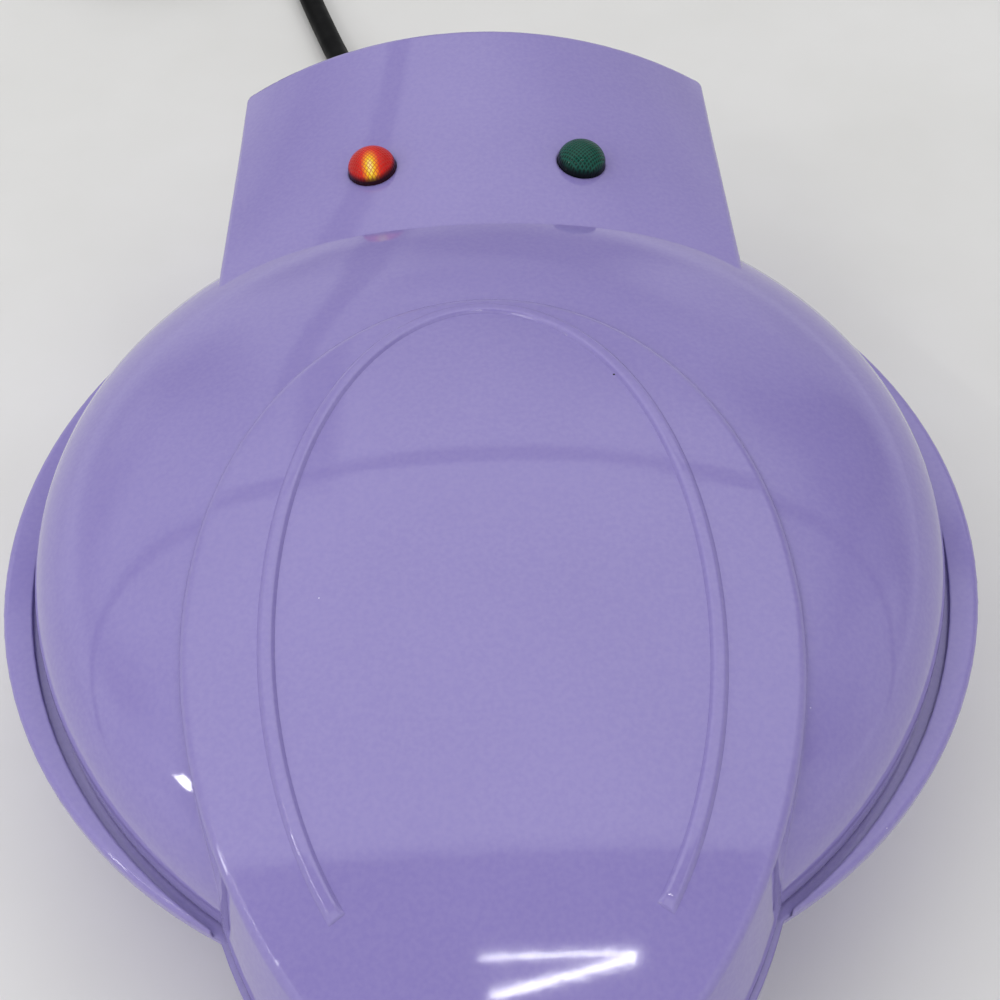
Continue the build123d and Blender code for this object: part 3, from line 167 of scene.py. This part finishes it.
def nonstick(name):
    """PTFE coating sprayed on cast aluminium: near-black grey with a fine metallic sparkle and a soft, slightly
    pebbled gloss, a little browner and duller where batter has baked. The flakes and the pebbles are drawn at
    0.9 mm, coarser than the real 0.1 to 0.3 mm, so that they show."""
    made, tree, place = new_material(name)
    tone = layered(tree, "2a2a2c",
                   (patches(tree, place, 30.0, 3.0, 0.0, 1.0), "343130"),
                   (specks(tree, place, 0.9, 0.22, 0.2), "6b6b70"))
    rough = patches(tree, place, 22.0, 4.0, 0.3, 0.44)
    pebble = relief(tree, place, 0.9, 2.0, 0.03, 0.5)
    dress(tree, {"IOR": 1.38, "Metallic": 0.25}, {"Base Color": tone, "Roughness": rough, "Normal": pebble})
    return made


def metal(name, colour, stain, roughness, grain, stretch=(1.0, 1.0, 1.0)):
    """Bare or plated metal: one colour drifting to a stain, and a rolled, drawn or cast grain in its gloss. The
    grain is drawn coarser than the real lines of about 0.05 mm, so that it shows."""
    made, tree, place = new_material(name)
    drawn = add(tree, "ShaderNodeMapping", {"Scale": stretch}, {"Vector": place}).outputs["Vector"]
    tone = layered(tree, stain, (patches(tree, place, 14.0, 3.0, 0.0, 1.0), colour))
    rough = patches(tree, drawn, grain, 3.0, roughness * 0.75, roughness * 1.3)
    streaks = relief(tree, drawn, grain, 2.0, 0.01, 0.4)
    dress(tree, {"Metallic": 1.0}, {"Base Color": tone, "Roughness": rough, "Normal": streaks})
    return made


def soft_black(name, colour, dust, roughness, grain, gloss=1.52):
    """Black rubber or flexible PVC: a dull skin with a fine grain, a little pale dust lying on it. Gloss is its
    IOR. The grain is drawn coarser than the real 0.3 mm, so that it shows."""
    made, tree, place = new_material(name)
    tone = layered(tree, colour, (patches(tree, place, 9.0, 4.0, 0.0, 0.5, 0.45, 0.8), dust))
    rough = patches(tree, place, 6.0, 3.0, roughness * 0.85, roughness * 1.2)
    skin = relief(tree, place, grain, 2.0, 0.03, 0.6)
    dress(tree, {"IOR": gloss}, {"Base Color": tone, "Roughness": rough, "Normal": skin})
    return made


def pale_insulator(name, colour, shade, roughness, grain):
    """Pale nylon, glass or glass-fibre sleeving inside the housing: slightly yellowed by heat."""
    made, tree, place = new_material(name)
    tone = layered(tree, shade, (patches(tree, place, 6.0, 2.0, 0.0, 1.0), colour))
    weave = relief(tree, place, grain, 1.0, 0.04, 0.6)
    dress(tree, {"Roughness": roughness, "IOR": 1.5}, {"Base Color": tone, "Normal": weave})
    return made


LENS_SPOT = (28.0, 99.45, 84.71)      # where the right lens's axis meets the housing
LENS_LEAN = 8.34                      # degrees that the lens leans outwards and forwards
LENS_PITCH = 2.08
LENS_R, LENS_DEPTH = 6.5, 3.0
LENS_PROUD, LENS_DOME = 0.4, 5.4      # straight wall that shows, and the dome on it
LENS_EDGE = (5.9, 6.4)                # radii between which the rim is painted dark, as shade
PRISM = 0.78                          # drawn a little coarser than the real 0.65 mm, so that it shows
GLOW_AT = (0.4, -4.0, 0.0)            # where the lamp behind the lens glows, and how its glow is squeezed
GLOW_SHAPE = (1.15, 0.55, 1.0)
GLOW_REACH = (0.2, 4.6)               # where its colours start and end
# The glow's colour on the prism lines, and its painted shade at the rim
GLOW_LINE, GLOW_RIM_SHADE = "1c0204", "1a0206"


def lamp_lens(name, side, body, line_and_glint, rim_shade, glow=None):
    """A moulded acrylic lamp lens: smooth and glossy outside, cast inside with a diamond grid of tiny prisms
    that breaks the colour into points. The prisms' lines are painted paler, as glints, and its edge is painted
    nearly black, as the shade of the acrylic seen through its full depth."""
    made, tree, place = new_material(name)
    spot = (side * LENS_SPOT[0] * MM, LENS_SPOT[1] * MM, LENS_SPOT[2] * MM)
    local = add(tree, "ShaderNodeMapping",
                {"vector_type": "TEXTURE", "Location": spot, "Scale": (MM, MM, MM),
                 "Rotation": (radians(LENS_PITCH), radians(side * LENS_LEAN), 0.0)},
                {"Vector": place}).outputs["Vector"]
    turned = add(tree, "ShaderNodeMapping", {"Rotation": (0.0, 0.0, radians(45))}, {"Vector": local})
    ridges = [add(tree, "ShaderNodeTexWave",
                  {"wave_profile": "TRI", "bands_direction": way, "Scale": pi / 10 / PRISM},
                  {"Vector": turned.outputs["Vector"]}).outputs["Fac"] for way in "XY"]
    prism = add(tree, "ShaderNodeMath", {"operation": "MINIMUM"}, {0: ridges[0], 1: ridges[1]}).outputs["Value"]
    parts = add(tree, "ShaderNodeSeparateXYZ", links={"Vector": local})
    flat = add(tree, "ShaderNodeCombineXYZ", links={"X": parts.outputs["X"], "Y": parts.outputs["Y"]})
    out = add(tree, "ShaderNodeVectorMath", {"operation": "LENGTH"}, {0: flat.outputs["Vector"]}).outputs["Value"]
    edge, facet = [
        add(tree, "ShaderNodeMapRange", {"From Min": start, "From Max": end}, {"Value": value}).outputs["Result"]
        for value, start, end in ((out, *LENS_EDGE), (prism, 0.1, 0.6))]
    prisms = add(tree, "ShaderNodeBump", {"Strength": 0.8, "Distance": 0.22 * MM}, {"Height": prism})
    settings = {"Roughness": 0.35, "IOR": 1.2, "Coat Weight": 0.2, "Coat Roughness": 0.03, "Coat IOR": 1.49}
    # The prism lines are painted paler as glints, and the rim is painted dark as shade.
    links = {"Base Color": layered(tree, line_and_glint, (facet, body), (edge, rim_shade)), "Normal": prisms.outputs["Normal"]}
    if glow:
        away = add(tree, "ShaderNodeVectorMath", {"operation": "SUBTRACT", 1: GLOW_AT},
                   {0: flat.outputs["Vector"]})
        squeezed = add(tree, "ShaderNodeVectorMath", {"operation": "MULTIPLY", 1: GLOW_SHAPE},
                       {0: away.outputs["Vector"]})
        far = add(tree, "ShaderNodeVectorMath", {"operation": "LENGTH"}, {0: squeezed.outputs["Vector"]})
        lit_facet, reach = [
            add(tree, "ShaderNodeMapRange", {"From Min": start, "From Max": end, "To Min": low},
                {"Value": value}).outputs["Result"]
            for value, start, end, low in ((prism, 0.05, 0.45, 0.25), (far.outputs["Value"], *GLOW_REACH, 0.0))]
        ramp = add(tree, "ShaderNodeValToRGB", links={"Fac": reach})
        stops = ramp.color_ramp.elements
        stops[0].color, stops[1].color = linear(glow[0]), linear(glow[-1])
        for i, colour in enumerate(glow[1:-1], 1):
            stops.new(i / (len(glow) - 1)).color = linear(colour)
        settings["Emission Strength"] = 0.9
        # At the rim the glow gives way to painted shade.
        links["Emission Color"] = layered(tree, GLOW_LINE, (lit_facet, ramp.outputs["Color"]), (edge, GLOW_RIM_SHADE))
    dress(tree, settings, links)
    return made


# Each real material, and what its making gives the eye.
# Moulded, polished ABS: a clear gloss. The bead's edges fade into the lid, so they catch no line of light.
LID = moulded_abs("glossy_lilac_abs_lid", LILAC, "8a7ebd", 0.048, 0.9)
BEAD_SKIN = moulded_abs("glossy_lilac_abs_bead", LILAC, "8a7ebd", 0.048, None)
# The base takes painted shade in its crevices, within 4 mm.
BASE = moulded_abs("glossy_lilac_abs_base", LILAC, "897dbc", 0.06, 0.8, 4.0)
# Moulded ABS with a sparked grain: an even, dull lilac.
INNER = textured_abs("dull_lilac_abs_inside", "8d81b8", "897db4", 0.42)
# Sprayed PTFE: a near-black, soft gloss.
PLATE = nonstick("nonstick_coated_cast_aluminium")
# Drawn steel tube, oxidised by its own heat: a dull brown grey in blotches.
ELEMENT = metal("oxidised_element_sheath", "56544f", "4a4038", 0.5, 2.0)
# Rolled steel, zinc plated: a bluish satin with fine lines along the rolling.
SHEET = metal("zinc_plated_sheet_steel", "b4b7bb", "a3a8ad", 0.32, 0.8, (1.0, 0.12, 1.0))
# Headed steel, zinc plated: a brighter satin without a direction.
SCREW = metal("zinc_plated_screw_steel", "a9abb0", "9a9890", 0.3, 0.5)
# Stamped, drawn brass: a warm yellow with lines along the blade.
BRASS = metal("plug_blade_brass", "c8a864", "b08d4c", 0.28, 0.5, (1.0, 0.2, 1.0))
# Moulded rubber: the dullest black, with dust.
RUBBER = soft_black("black_foot_rubber", "151516", "3a3a3a", 0.7, 0.8)
# Extruded PVC: deep black with a broad, weak shine.
CORD = soft_black("black_cord_pvc", "020203", "0a0a0b", 0.5, 1.5, 1.2)
# Moulded PVC: black, a little paler and smoother than the lead.
PLUG = soft_black("black_plug_pvc", "060607", "141415", 0.44, 0.9, 1.3)
# Moulded nylon: a matt off-white.
PALE = pale_insulator("pale_terminal_nylon", "dcd9cf", "cfc8b6", 0.5, 1.2)
# Woven glass fibre: a matt white with a weave of 0.6 mm.
SLEEVE = pale_insulator("white_glass_fibre_sleeving", "e4e2dc", "d3cdbd", 0.65, 0.6)
# Moulded, tinted acrylic over a lit lamp and over a dark one: yellow to deep red, and nearly black green.
# For each lens: body, prism lines painted paler as glints, and rim painted dark as shade.
RED = lamp_lens("lit_red_acrylic_lens", -1, "4a0202", "a03028", "12020a",
                ["fff09a", "f8d81a", "f08a18", "d4260a", "c0140a", "ac0c08"])
GREEN = lamp_lens("dark_green_acrylic_lens", 1, "022a20", "12584a", "010807")
# Blown glass round a neon: warm and glossy.
LAMP = pale_insulator("neon_lamp_glass", "d8b090", "c89a78", 0.1, 2.0)

finishes = {
    LID: ["lid_shell", "handle_latch"],
    BASE: ["base_shell"],
    INNER: ["lid_frame", "bottom_cover", "cord_clamp"],
    PLATE: ["upper_cooking_plate", "lower_cooking_plate"],
    ELEMENT: ["upper_heating_element", "lower_heating_element"],
    SHEET: ["upper_element_clamp", "lower_element_clamp", "upper_heat_shield", "lower_heat_shield",
            "lamp_bracket", "thermal_fuse"],
    SCREW: ["lid_frame_screws", "upper_plate_screws", "lower_plate_screws", "lamp_bracket_screws",
            "cord_clamp_screws", "cover_screws", "hinge_pins", "latch_pin"],
    BRASS: ["plug_blades"],
    RUBBER: ["rubber_feet"],
    PLUG: ["plug_body", "strain_relief"],
    PALE: ["terminal_block", "thermostat"],
    SLEEVE: ["upper_leads", "lower_leads"],
    RED: ["power_lens"],
    GREEN: ["ready_lens"],
    LAMP: ["indicator_lamps"],
}
for finish, names in finishes.items():
    for name in names:
        mesh = nodes[name].data
        mesh.materials.clear()
        mesh.materials.append(finish)


def lens_tree():
    """A domed round button: a cylinder whose top's rings are raised to a dome, turned to its place."""
    tree = bpy.data.node_groups.new("domed_lens", "GeometryNodeTree")
    for name, kind in (("Radius", "NodeSocketFloat"), ("Depth", "NodeSocketFloat"), ("Proud", "NodeSocketFloat"),
                       ("Dome", "NodeSocketFloat"), ("Place", "NodeSocketVector"), ("Turn", "NodeSocketVector"),
                       ("Acrylic", "NodeSocketMaterial")):
        tree.interface.new_socket(name, in_out="INPUT", socket_type=kind)
    tree.interface.new_socket("Lens", in_out="OUTPUT", socket_type="NodeSocketGeometry")
    given = add(tree, "NodeGroupInput").outputs
    height = add(tree, "ShaderNodeMath", {"operation": "ADD"}, {0: given["Depth"], 1: given["Proud"]})
    button = add(tree, "GeometryNodeMeshCylinder",
                 {"fill_type": "TRIANGLE_FAN", "Vertices": 64, "Side Segments": 1, "Fill Segments": 30},
                 {"Radius": given["Radius"], "Depth": height.outputs["Value"]})
    spot = add(tree, "ShaderNodeSeparateXYZ", links={"Vector": add(tree, "GeometryNodeInputPosition").outputs[0]})
    flat = add(tree, "ShaderNodeCombineXYZ", links={"X": spot.outputs["X"], "Y": spot.outputs["Y"]})
    out = add(tree, "ShaderNodeVectorMath", {"operation": "LENGTH"}, {0: flat.outputs["Vector"]})
    share = add(tree, "ShaderNodeMath", {"operation": "DIVIDE"}, {0: out.outputs["Value"], 1: given["Radius"]})
    squared = add(tree, "ShaderNodeMath", {"operation": "POWER", 1: 2.0}, {0: share.outputs["Value"]})
    fall = add(tree, "ShaderNodeMath", {"operation": "SUBTRACT", 0: 1.0, "use_clamp": True},
               {1: squared.outputs["Value"]})
    ellipse = add(tree, "ShaderNodeMath", {"operation": "POWER", 1: 0.5}, {0: fall.outputs["Value"]})
    rise = add(tree, "ShaderNodeMath", {"operation": "MULTIPLY"}, {0: ellipse.outputs["Value"], 1: given["Dome"]})
    upper = add(tree, "ShaderNodeMath", {"operation": "GREATER_THAN", 1: 0.0}, {0: spot.outputs["Z"]})
    lift = add(tree, "ShaderNodeMath", {"operation": "MULTIPLY"},
               {0: rise.outputs["Value"], 1: upper.outputs["Value"]})
    up = add(tree, "ShaderNodeCombineXYZ", links={"Z": lift.outputs["Value"]})
    domed = add(tree, "GeometryNodeSetPosition",
                links={"Geometry": button.outputs["Mesh"], "Offset": up.outputs["Vector"]})
    half = add(tree, "ShaderNodeMath", {"operation": "MULTIPLY", 1: 0.5}, {0: height.outputs["Value"]})
    base = add(tree, "ShaderNodeMath", {"operation": "SUBTRACT"}, {0: half.outputs["Value"], 1: given["Depth"]})
    raised = add(tree, "ShaderNodeCombineXYZ", links={"Z": base.outputs["Value"]})
    standing = add(tree, "GeometryNodeTransform",
                   links={"Geometry": domed.outputs["Geometry"], "Translation": raised.outputs["Vector"]})
    placed = add(tree, "GeometryNodeTransform",
                 links={"Geometry": standing.outputs["Geometry"], "Translation": given["Place"],
                        "Rotation": given["Turn"]})
    smooth = add(tree, "GeometryNodeSetShadeSmooth", links={"Geometry": placed.outputs["Geometry"]})
    whole = add(tree, "GeometryNodeRealizeInstances", links={"Geometry": smooth.outputs["Geometry"]})
    coloured = add(tree, "GeometryNodeSetMaterial",
                   links={"Geometry": whole.outputs["Geometry"], "Material": given["Acrylic"]})
    add(tree, "NodeGroupOutput", links={"Lens": coloured.outputs["Geometry"]})
    return tree


def made_by(tree, name, values):
    """A plain mesh object from a Geometry Nodes tree with its inputs set by name."""
    seed = put(name + "_seed", bpy.data.meshes.new(name + "_seed"))
    shape = seed.modifiers.new("shape", "NODES")
    shape.node_group = tree
    for item in tree.interface.items_tree:
        if item.in_out == "INPUT" and item.name in values:
            shape[item.identifier] = values[item.name]
    result = seed.evaluated_get(bpy.context.evaluated_depsgraph_get())
    mesh = bpy.data.meshes.new_from_object(result)
    bpy.data.objects.remove(seed)
    return put(name, mesh)


domed_lens = lens_tree()
for node_name, piece_name, side, acrylic, finish_slot in (
        ("power_lens", "power_lens_button", -1, RED, "red_lens"),
        ("ready_lens", "ready_lens_button", 1, GREEN, "green_lens")):
    button = made_by(domed_lens, piece_name, {
        "Radius": LENS_R * MM, "Depth": LENS_DEPTH * MM, "Proud": LENS_PROUD * MM, "Dome": LENS_DOME * MM,
        "Acrylic": acrylic, "Place": (side * LENS_SPOT[0] * MM, LENS_SPOT[1] * MM, LENS_SPOT[2] * MM),
        "Turn": (radians(LENS_PITCH), radians(side * LENS_LEAN), 0.0)})
    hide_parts(node_name)
    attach(button, "lid")

# The platform's bead: the CAD model's plain band, covered by the soft round ridge that the photograph shows.
# These are millimetres in the CAD model's frame.
EGG_Y = -48.0                         # cross line of the platform's outline
CREST_Y, CREST_Z = -2.0, 96.5         # the crest of the platform's crowned top
CREST_R, CROSS_R = 317.982, 330.0     # the top's radii along the body and across it
BEAD_HALF_WIDTH = 46.3                # the arch: half width, reach to the rear and to the front, cross line
BEAD_REAR, BEAD_FRONT = 85.0, 81.2
BEAD_CROSS_Y = EGG_Y - 2.0
BEAD_END_Y = EGG_Y - 60.0             # where the CAD band ends
BEAD_HALF, BEAD_RISE = 1.9, 0.84      # the ridge's own half width and height
BEAD_SHOULDER = 2.6                   # above 2 the ridge has a flatter back and rounder shoulders
BEAD_SINK = 0.4                       # how deep its underside lies in the platform
BEAD_CLEAR, BEAD_TUCK = 0.01, -0.03   # its skin clears the platform, and its two outer lines dip into it
BEAD_TAIL = 2.6                       # how far the ridge fades out past the band's ends
BEAD_LATE = 0.1                       # share of the tail before the fading starts
BEAD_STEPS, BEAD_STRIPS = 720, 9      # steps round the whole ellipse, strips from its line to one side


def crown(x, y):
    """Height of the platform's crowned top, in millimetres in the CAD model's frame."""
    across = CREST_R - (CROSS_R - sqrt(CROSS_R ** 2 - x ** 2))
    return CREST_Z - CREST_R + sqrt(across ** 2 - (y - CREST_Y) ** 2)


def bead_ridge():
    """A closed strip along the bead's arch: a bell-shaped section that fades out at both ends."""
    path = []
    for i in range(BEAD_STEPS + 1):
        a = pi * (2.0 * i / BEAD_STEPS - 0.5)
        reach = BEAD_REAR if sin(a) > 0 else BEAD_FRONT
        x, y = BEAD_HALF_WIDTH * cos(a), BEAD_CROSS_Y + reach * sin(a)
        nx, ny = cos(a) / BEAD_HALF_WIDTH, sin(a) / reach
        if y >= BEAD_END_Y - BEAD_TAIL:
            size = sqrt(nx * nx + ny * ny)
            path.append((x, y, nx / size, ny / size))
    strips = range(BEAD_STRIPS, -BEAD_STRIPS - 1, -1)
    upper, lower = [], []
    for x, y, nx, ny in path:
        fade = min(max((y - BEAD_END_Y) / BEAD_TAIL + 1 + BEAD_LATE, 0.0), 1.0)
        fade = fade * fade * (3 - 2 * fade)
        for k in strips:
            aside = BEAD_HALF * k / BEAD_STRIPS
            px, py = x + aside * nx, y + aside * ny
            bell = cos(pi / 2 * (abs(k) / BEAD_STRIPS) ** BEAD_SHOULDER) ** 2
            rise = BEAD_RISE * bell * fade + (BEAD_TUCK if abs(k) == BEAD_STRIPS else BEAD_CLEAR)
            for side, height in ((upper, rise), (lower, -BEAD_SINK)):
                side.append((px * MM, py * MM + BODY_Y, (crown(px, py) + height) * MM))
    top, width = len(upper), len(strips)
    faces = []
    for i in range(len(path) - 1):
        for j in range(width - 1):
            a = i * width + j
            faces.append((a, a + width, a + width + 1, a + 1))
            faces.append((top + a, top + a + 1, top + a + width + 1, top + a + width))
        for j in (0, width - 1):
            a = i * width + j
            wall = (a, top + a, top + a + width, a + width)
            faces.append(wall if j == 0 else wall[::-1])
    last = (len(path) - 1) * width
    faces.append([*range(width)] + [top + j for j in reversed(range(width))])
    faces.append([last + j for j in reversed(range(width))] + [top + last + j for j in range(width)])
    mesh = bpy.data.meshes.new("platform_bead")
    mesh.from_pydata(upper + lower, [], faces)
    mesh.validate()
    mesh.shade_smooth()
    mesh.materials.append(BEAD_SKIN)
    return put("platform_bead", mesh)


ridge = bead_ridge()
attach(ridge, "lid")

# The mains lead: the route's points of the CAD model, then the put-away coil, then the run to the plug.
CORD_D = 8.4 * MM
ROUTE = [(-22.0, 137.0, 20.0), (-22.0, 166.0, 20.0), (-22.15, 196.0, 19.9), (-44.3, 248.0, 4.3),
         (-62.5, 305.0, 4.3), (-73.0, 345.0, 4.3), (-81.0, 385.0, 4.3)]
LEAD_IN = 8.4                         # from the route's last point to the coil's start
COIL_R = 50.0
COIL_PITCH = 9.6                      # between two turns that lie side by side
COIL_LAYER = 9.0                      # height that the line climbs to lie on its first turn
CLIMB_FROM, CLIMB = 330.0, 88.0       # degrees along the coil where it climbs
COIL_STEPS = 16                       # control points to a turn
RUN_OUT = [(12.0, 9.0), (40.0, 8.8), (66.0, 3.3), (90.4, 3.3)]      # reach and rise of the run to the plug


def coil_points():
    """Control points of the coil: two loops to the left, up a layer in the second, then forward to the plug."""
    (x0, y0, _), (x1, y1, z1) = ROUTE[-2:]
    turn = atan2(y1 - y0, x1 - x0) - pi / 2
    c, s = cos(turn), sin(turn)
    start = (x1 - s * LEAD_IN, y1 + c * LEAD_IN)
    inner = COIL_R - COIL_PITCH / 2
    widen = 1 / (0.75 + 0.25 * cos(2 * pi / COIL_STEPS))      # a smooth line runs inside its control points
    local = []
    for i in range(2 * COIL_STEPS):
        angle = 360.0 / COIL_STEPS * (i + 0.5)
        radius = (COIL_R, inner, inner, COIL_R)[int(angle // 180)]
        centre = radius - 2 * COIL_R
        along = min(max((angle - CLIMB_FROM) / CLIMB, 0.0), 1.0)
        rise = 2 * along ** 2 if along < 0.5 else 1 - 2 * (1 - along) ** 2
        a = radians(angle)
        local.append((centre + widen * radius * cos(a), widen * radius * sin(a), COIL_LAYER * rise))
    local += [(0.0, reach, rise) for reach, rise in RUN_OUT]
    return [(start[0] + c * x - s * y, start[1] + s * x + c * y, z1 + z) for x, y, z in local]


def lead():
    """The mains lead as one NURBS line with a round section."""
    curve = bpy.data.curves.new("mains_lead", "CURVE")
    curve.dimensions = "3D"
    points = ROUTE + coil_points()
    spline = curve.splines.new("NURBS")
    spline.points.add(len(points) - 1)
    for point, (x, y, z) in zip(spline.points, points):
        point.co = (x * MM, y * MM + BODY_Y, z * MM, 1.0)
    spline.order_u = 3
    spline.use_endpoint_u = True
    spline.resolution_u = 8
    curve.bevel_depth = CORD_D / 2
    curve.bevel_resolution = 6
    curve.use_fill_caps = True
    curve.materials.append(CORD)
    return put("mains_lead", curve)


cord = lead()
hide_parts("power_cord", "cord_coil")
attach(cord, "base")

TABLE_HALF = 30.0      # metres, so that its edge is far outside the picture


def floor():
    """A pale, matt, pressed laminate table with faint clouds, which runs on past the picture."""
    corners = [(x * TABLE_HALF, y * TABLE_HALF, 0) for x, y in ((-1, -1), (1, -1), (1, 1), (-1, 1))]
    mesh = bpy.data.meshes.new("table")
    mesh.from_pydata(corners, [], [(0, 1, 2, 3)])
    made = put("table", mesh)
    laminate, tree, place = new_material("pale_table_laminate")
    tone = layered(tree, "e0dfdc", (patches(tree, place, 60.0, 4.0, 0.0, 1.0), "e5e4e2"))
    dress(tree, {"Roughness": 0.5}, {"Base Color": tone})
    mesh.materials.append(laminate)


floor()


def soft_light(name, place, aim, size, power):
    """A rectangular light aimed at a point."""
    data = bpy.data.lights.new(name, "AREA")
    data.shape = "RECTANGLE"
    data.size, data.size_y = size
    data.energy = power
    made = put(name, data)
    made.location = place
    made.rotation_euler = (Vector(aim) - Vector(place)).to_track_quat("-Z", "Y").to_euler()


# The lights give the photographed glints, and little of the light on the object.
soft_light("ceiling_tube", (0.17, -0.645, 1.6), (0.17, -0.12, 0.07), (0.48, 0.008), 0.5)
soft_light("front_tube", (0.18, -0.715, 1.6), (0.04, -0.13, 0.07), (0.46, 0.024), 0.9)
soft_light("left_window", (-1.18, -0.34, 0.69), (-0.06, -0.08, 0.07), (0.08, 0.1), 0.7)
soft_light("left_tube", (-0.775, -0.575, 1.1), (-0.05, -0.1, 0.07), (0.96, 0.015), 1.5)

CEILING = 1.38         # brightness of the ceiling, which lights most; a level face gets about 1 in all
HORIZON = 0.8          # brightness round the table's far edge
BEAM_NORMAL = (0.0, 0.792, -0.61)         # normals of the planes through the object in which two marks lie
POST_NORMAL = (0.956, 0.096, 0.277)
DAYLIGHT = (0.985, 0.99, 1.0, 1.0)


def joined(tree, operation, easing, ranges):
    """The sum or the product of several values, each taken from start..end to low..high."""
    whole = None
    for value, start, end, low, high in ranges:
        part = add(tree, "ShaderNodeMapRange",
                   {"interpolation_type": easing, "From Min": start, "From Max": end, "To Min": low,
                    "To Max": high}, {"Value": value}).outputs["Result"]
        whole = part if whole is None else add(
            tree, "ShaderNodeMath", {"operation": operation}, {0: whole, 1: part}).outputs["Value"]
    return whole


def room():
    """The soft light of a plain pale room: a bright ceiling that fades into the walls, which are paler on the
    left than on the right. Three marks dim it: a band overhead at the front, a beam across the ceiling and a
    post at the back left. They show in the gloss as soft dark shapes."""
    world = bpy.data.worlds.new("room")
    bpy.context.scene.world = world
    world.use_nodes = True
    tree = world.node_tree
    tree.nodes.clear()
    look = add(tree, "ShaderNodeTexCoord").outputs["Generated"]
    split = add(tree, "ShaderNodeSeparateXYZ", links={"Vector": look}).outputs
    cloud = add(tree, "ShaderNodeTexNoise", {"Scale": 2.2, "Detail": 1.0}, {"Vector": look}).outputs["Fac"]
    side = joined(tree, "ADD", "LINEAR", [(split["X"], -0.9, 0.9, 0.66, 0.34), (cloud, 0.4, 0.6, -0.25, 0.25),
                                          (split["Y"], -0.85, -0.25, 0.3, 0.0)])
    height = joined(tree, "ADD", "LINEAR", [(split["Z"], 0.05, 0.2, 0.0, 1.0)])
    wall = add(tree, "ShaderNodeMix", {"data_type": "FLOAT", 2: HORIZON}, {0: height, 3: side}).outputs[0]
    above = joined(tree, "ADD", "SMOOTHSTEP", [(split["Z"], 0.5, 0.85, 0.0, 1.0)])
    level = add(tree, "ShaderNodeMix", {"data_type": "FLOAT", 3: CEILING}, {0: above, 2: wall}).outputs[0]

    slant, tilt = [add(tree, "ShaderNodeMath", {"operation": "DIVIDE"}, {0: split[way], 1: split["Z"]})
                   for way in "YX"]
    off_beam, off_post = [add(tree, "ShaderNodeVectorMath", {"operation": "DOT_PRODUCT", 1: normal}, {0: look})
                          for normal in (BEAM_NORMAL, POST_NORMAL)]
    aside, off_beam, off_post = [
        add(tree, "ShaderNodeMath", {"operation": "ABSOLUTE"}, {0: signed.outputs["Value"]}).outputs["Value"]
        for signed in (tilt, off_beam, off_post)]
    slant = slant.outputs["Value"]
    for ranges in (
            [(slant, -0.17, -0.12, 1.0, 0.0), (slant, -0.9, -0.6, 0.0, 1.0), (aside, 0.45, 0.75, 0.88, 0.0),
             (split["Z"], 0.1, 0.4, 0.0, 1.0)],                                             # the front band
            [(off_beam, 0.008, 0.026, 0.65, 0.0)],                                          # the beam
            [(off_post, 0.02, 0.05, 0.55, 0.0), (split["Y"], 0.5, 0.65, 0.0, 1.0)]):        # the post
        dim = joined(tree, "MULTIPLY", "SMOOTHSTEP", ranges)
        left = add(tree, "ShaderNodeMath", {"operation": "SUBTRACT", 0: 1.0}, {1: dim}).outputs["Value"]
        level = add(tree, "ShaderNodeMath", {"operation": "MULTIPLY"}, {0: level, 1: left}).outputs["Value"]
    light = add(tree, "ShaderNodeBackground", {"Color": DAYLIGHT}, {"Strength": level})
    add(tree, "ShaderNodeOutputWorld", links={"Surface": light.outputs["Background"]})


room()

AZIMUTH, ELEVATION, ROLL = radians(-0.5), radians(50.32), radians(-1.59)
DISTANCE = 0.3901                     # from the lens to the flange's centre
PICTURE, FOCAL = 1000.0, 1600.0       # pixels: the picture's width and the focal length
CENTRE = (489.3, 534.8)               # pixel where the flange's centre shows
SENSOR = 36.0


def camera():
    """The photograph's camera, from a fitted view of the flange's circle and the lid's outline."""
    back = Vector((sin(AZIMUTH) * cos(ELEVATION), -cos(AZIMUTH) * cos(ELEVATION), sin(ELEVATION)))
    right = Vector((cos(AZIMUTH), sin(AZIMUTH), 0.0))
    up = back.cross(right)
    side = right * cos(ROLL) + up * sin(ROLL)
    head = up * cos(ROLL) - right * sin(ROLL)
    aside, below = [(at - PICTURE / 2) * DISTANCE / FOCAL for at in CENTRE]
    place = Vector((0, BODY_Y, RIM_Z)) - side * aside + head * below + back * DISTANCE
    data = bpy.data.cameras.new("camera")
    data.sensor_width = SENSOR
    data.lens = SENSOR * FOCAL / PICTURE
    data.clip_start = 0.01
    made = put("camera", data)
    matrix = Matrix((side, head, back)).transposed().to_4x4()
    matrix.translation = place
    made.matrix_world = matrix
    bpy.context.scene.camera = made


camera()
bpy.context.scene.view_settings.view_transform = "Standard"
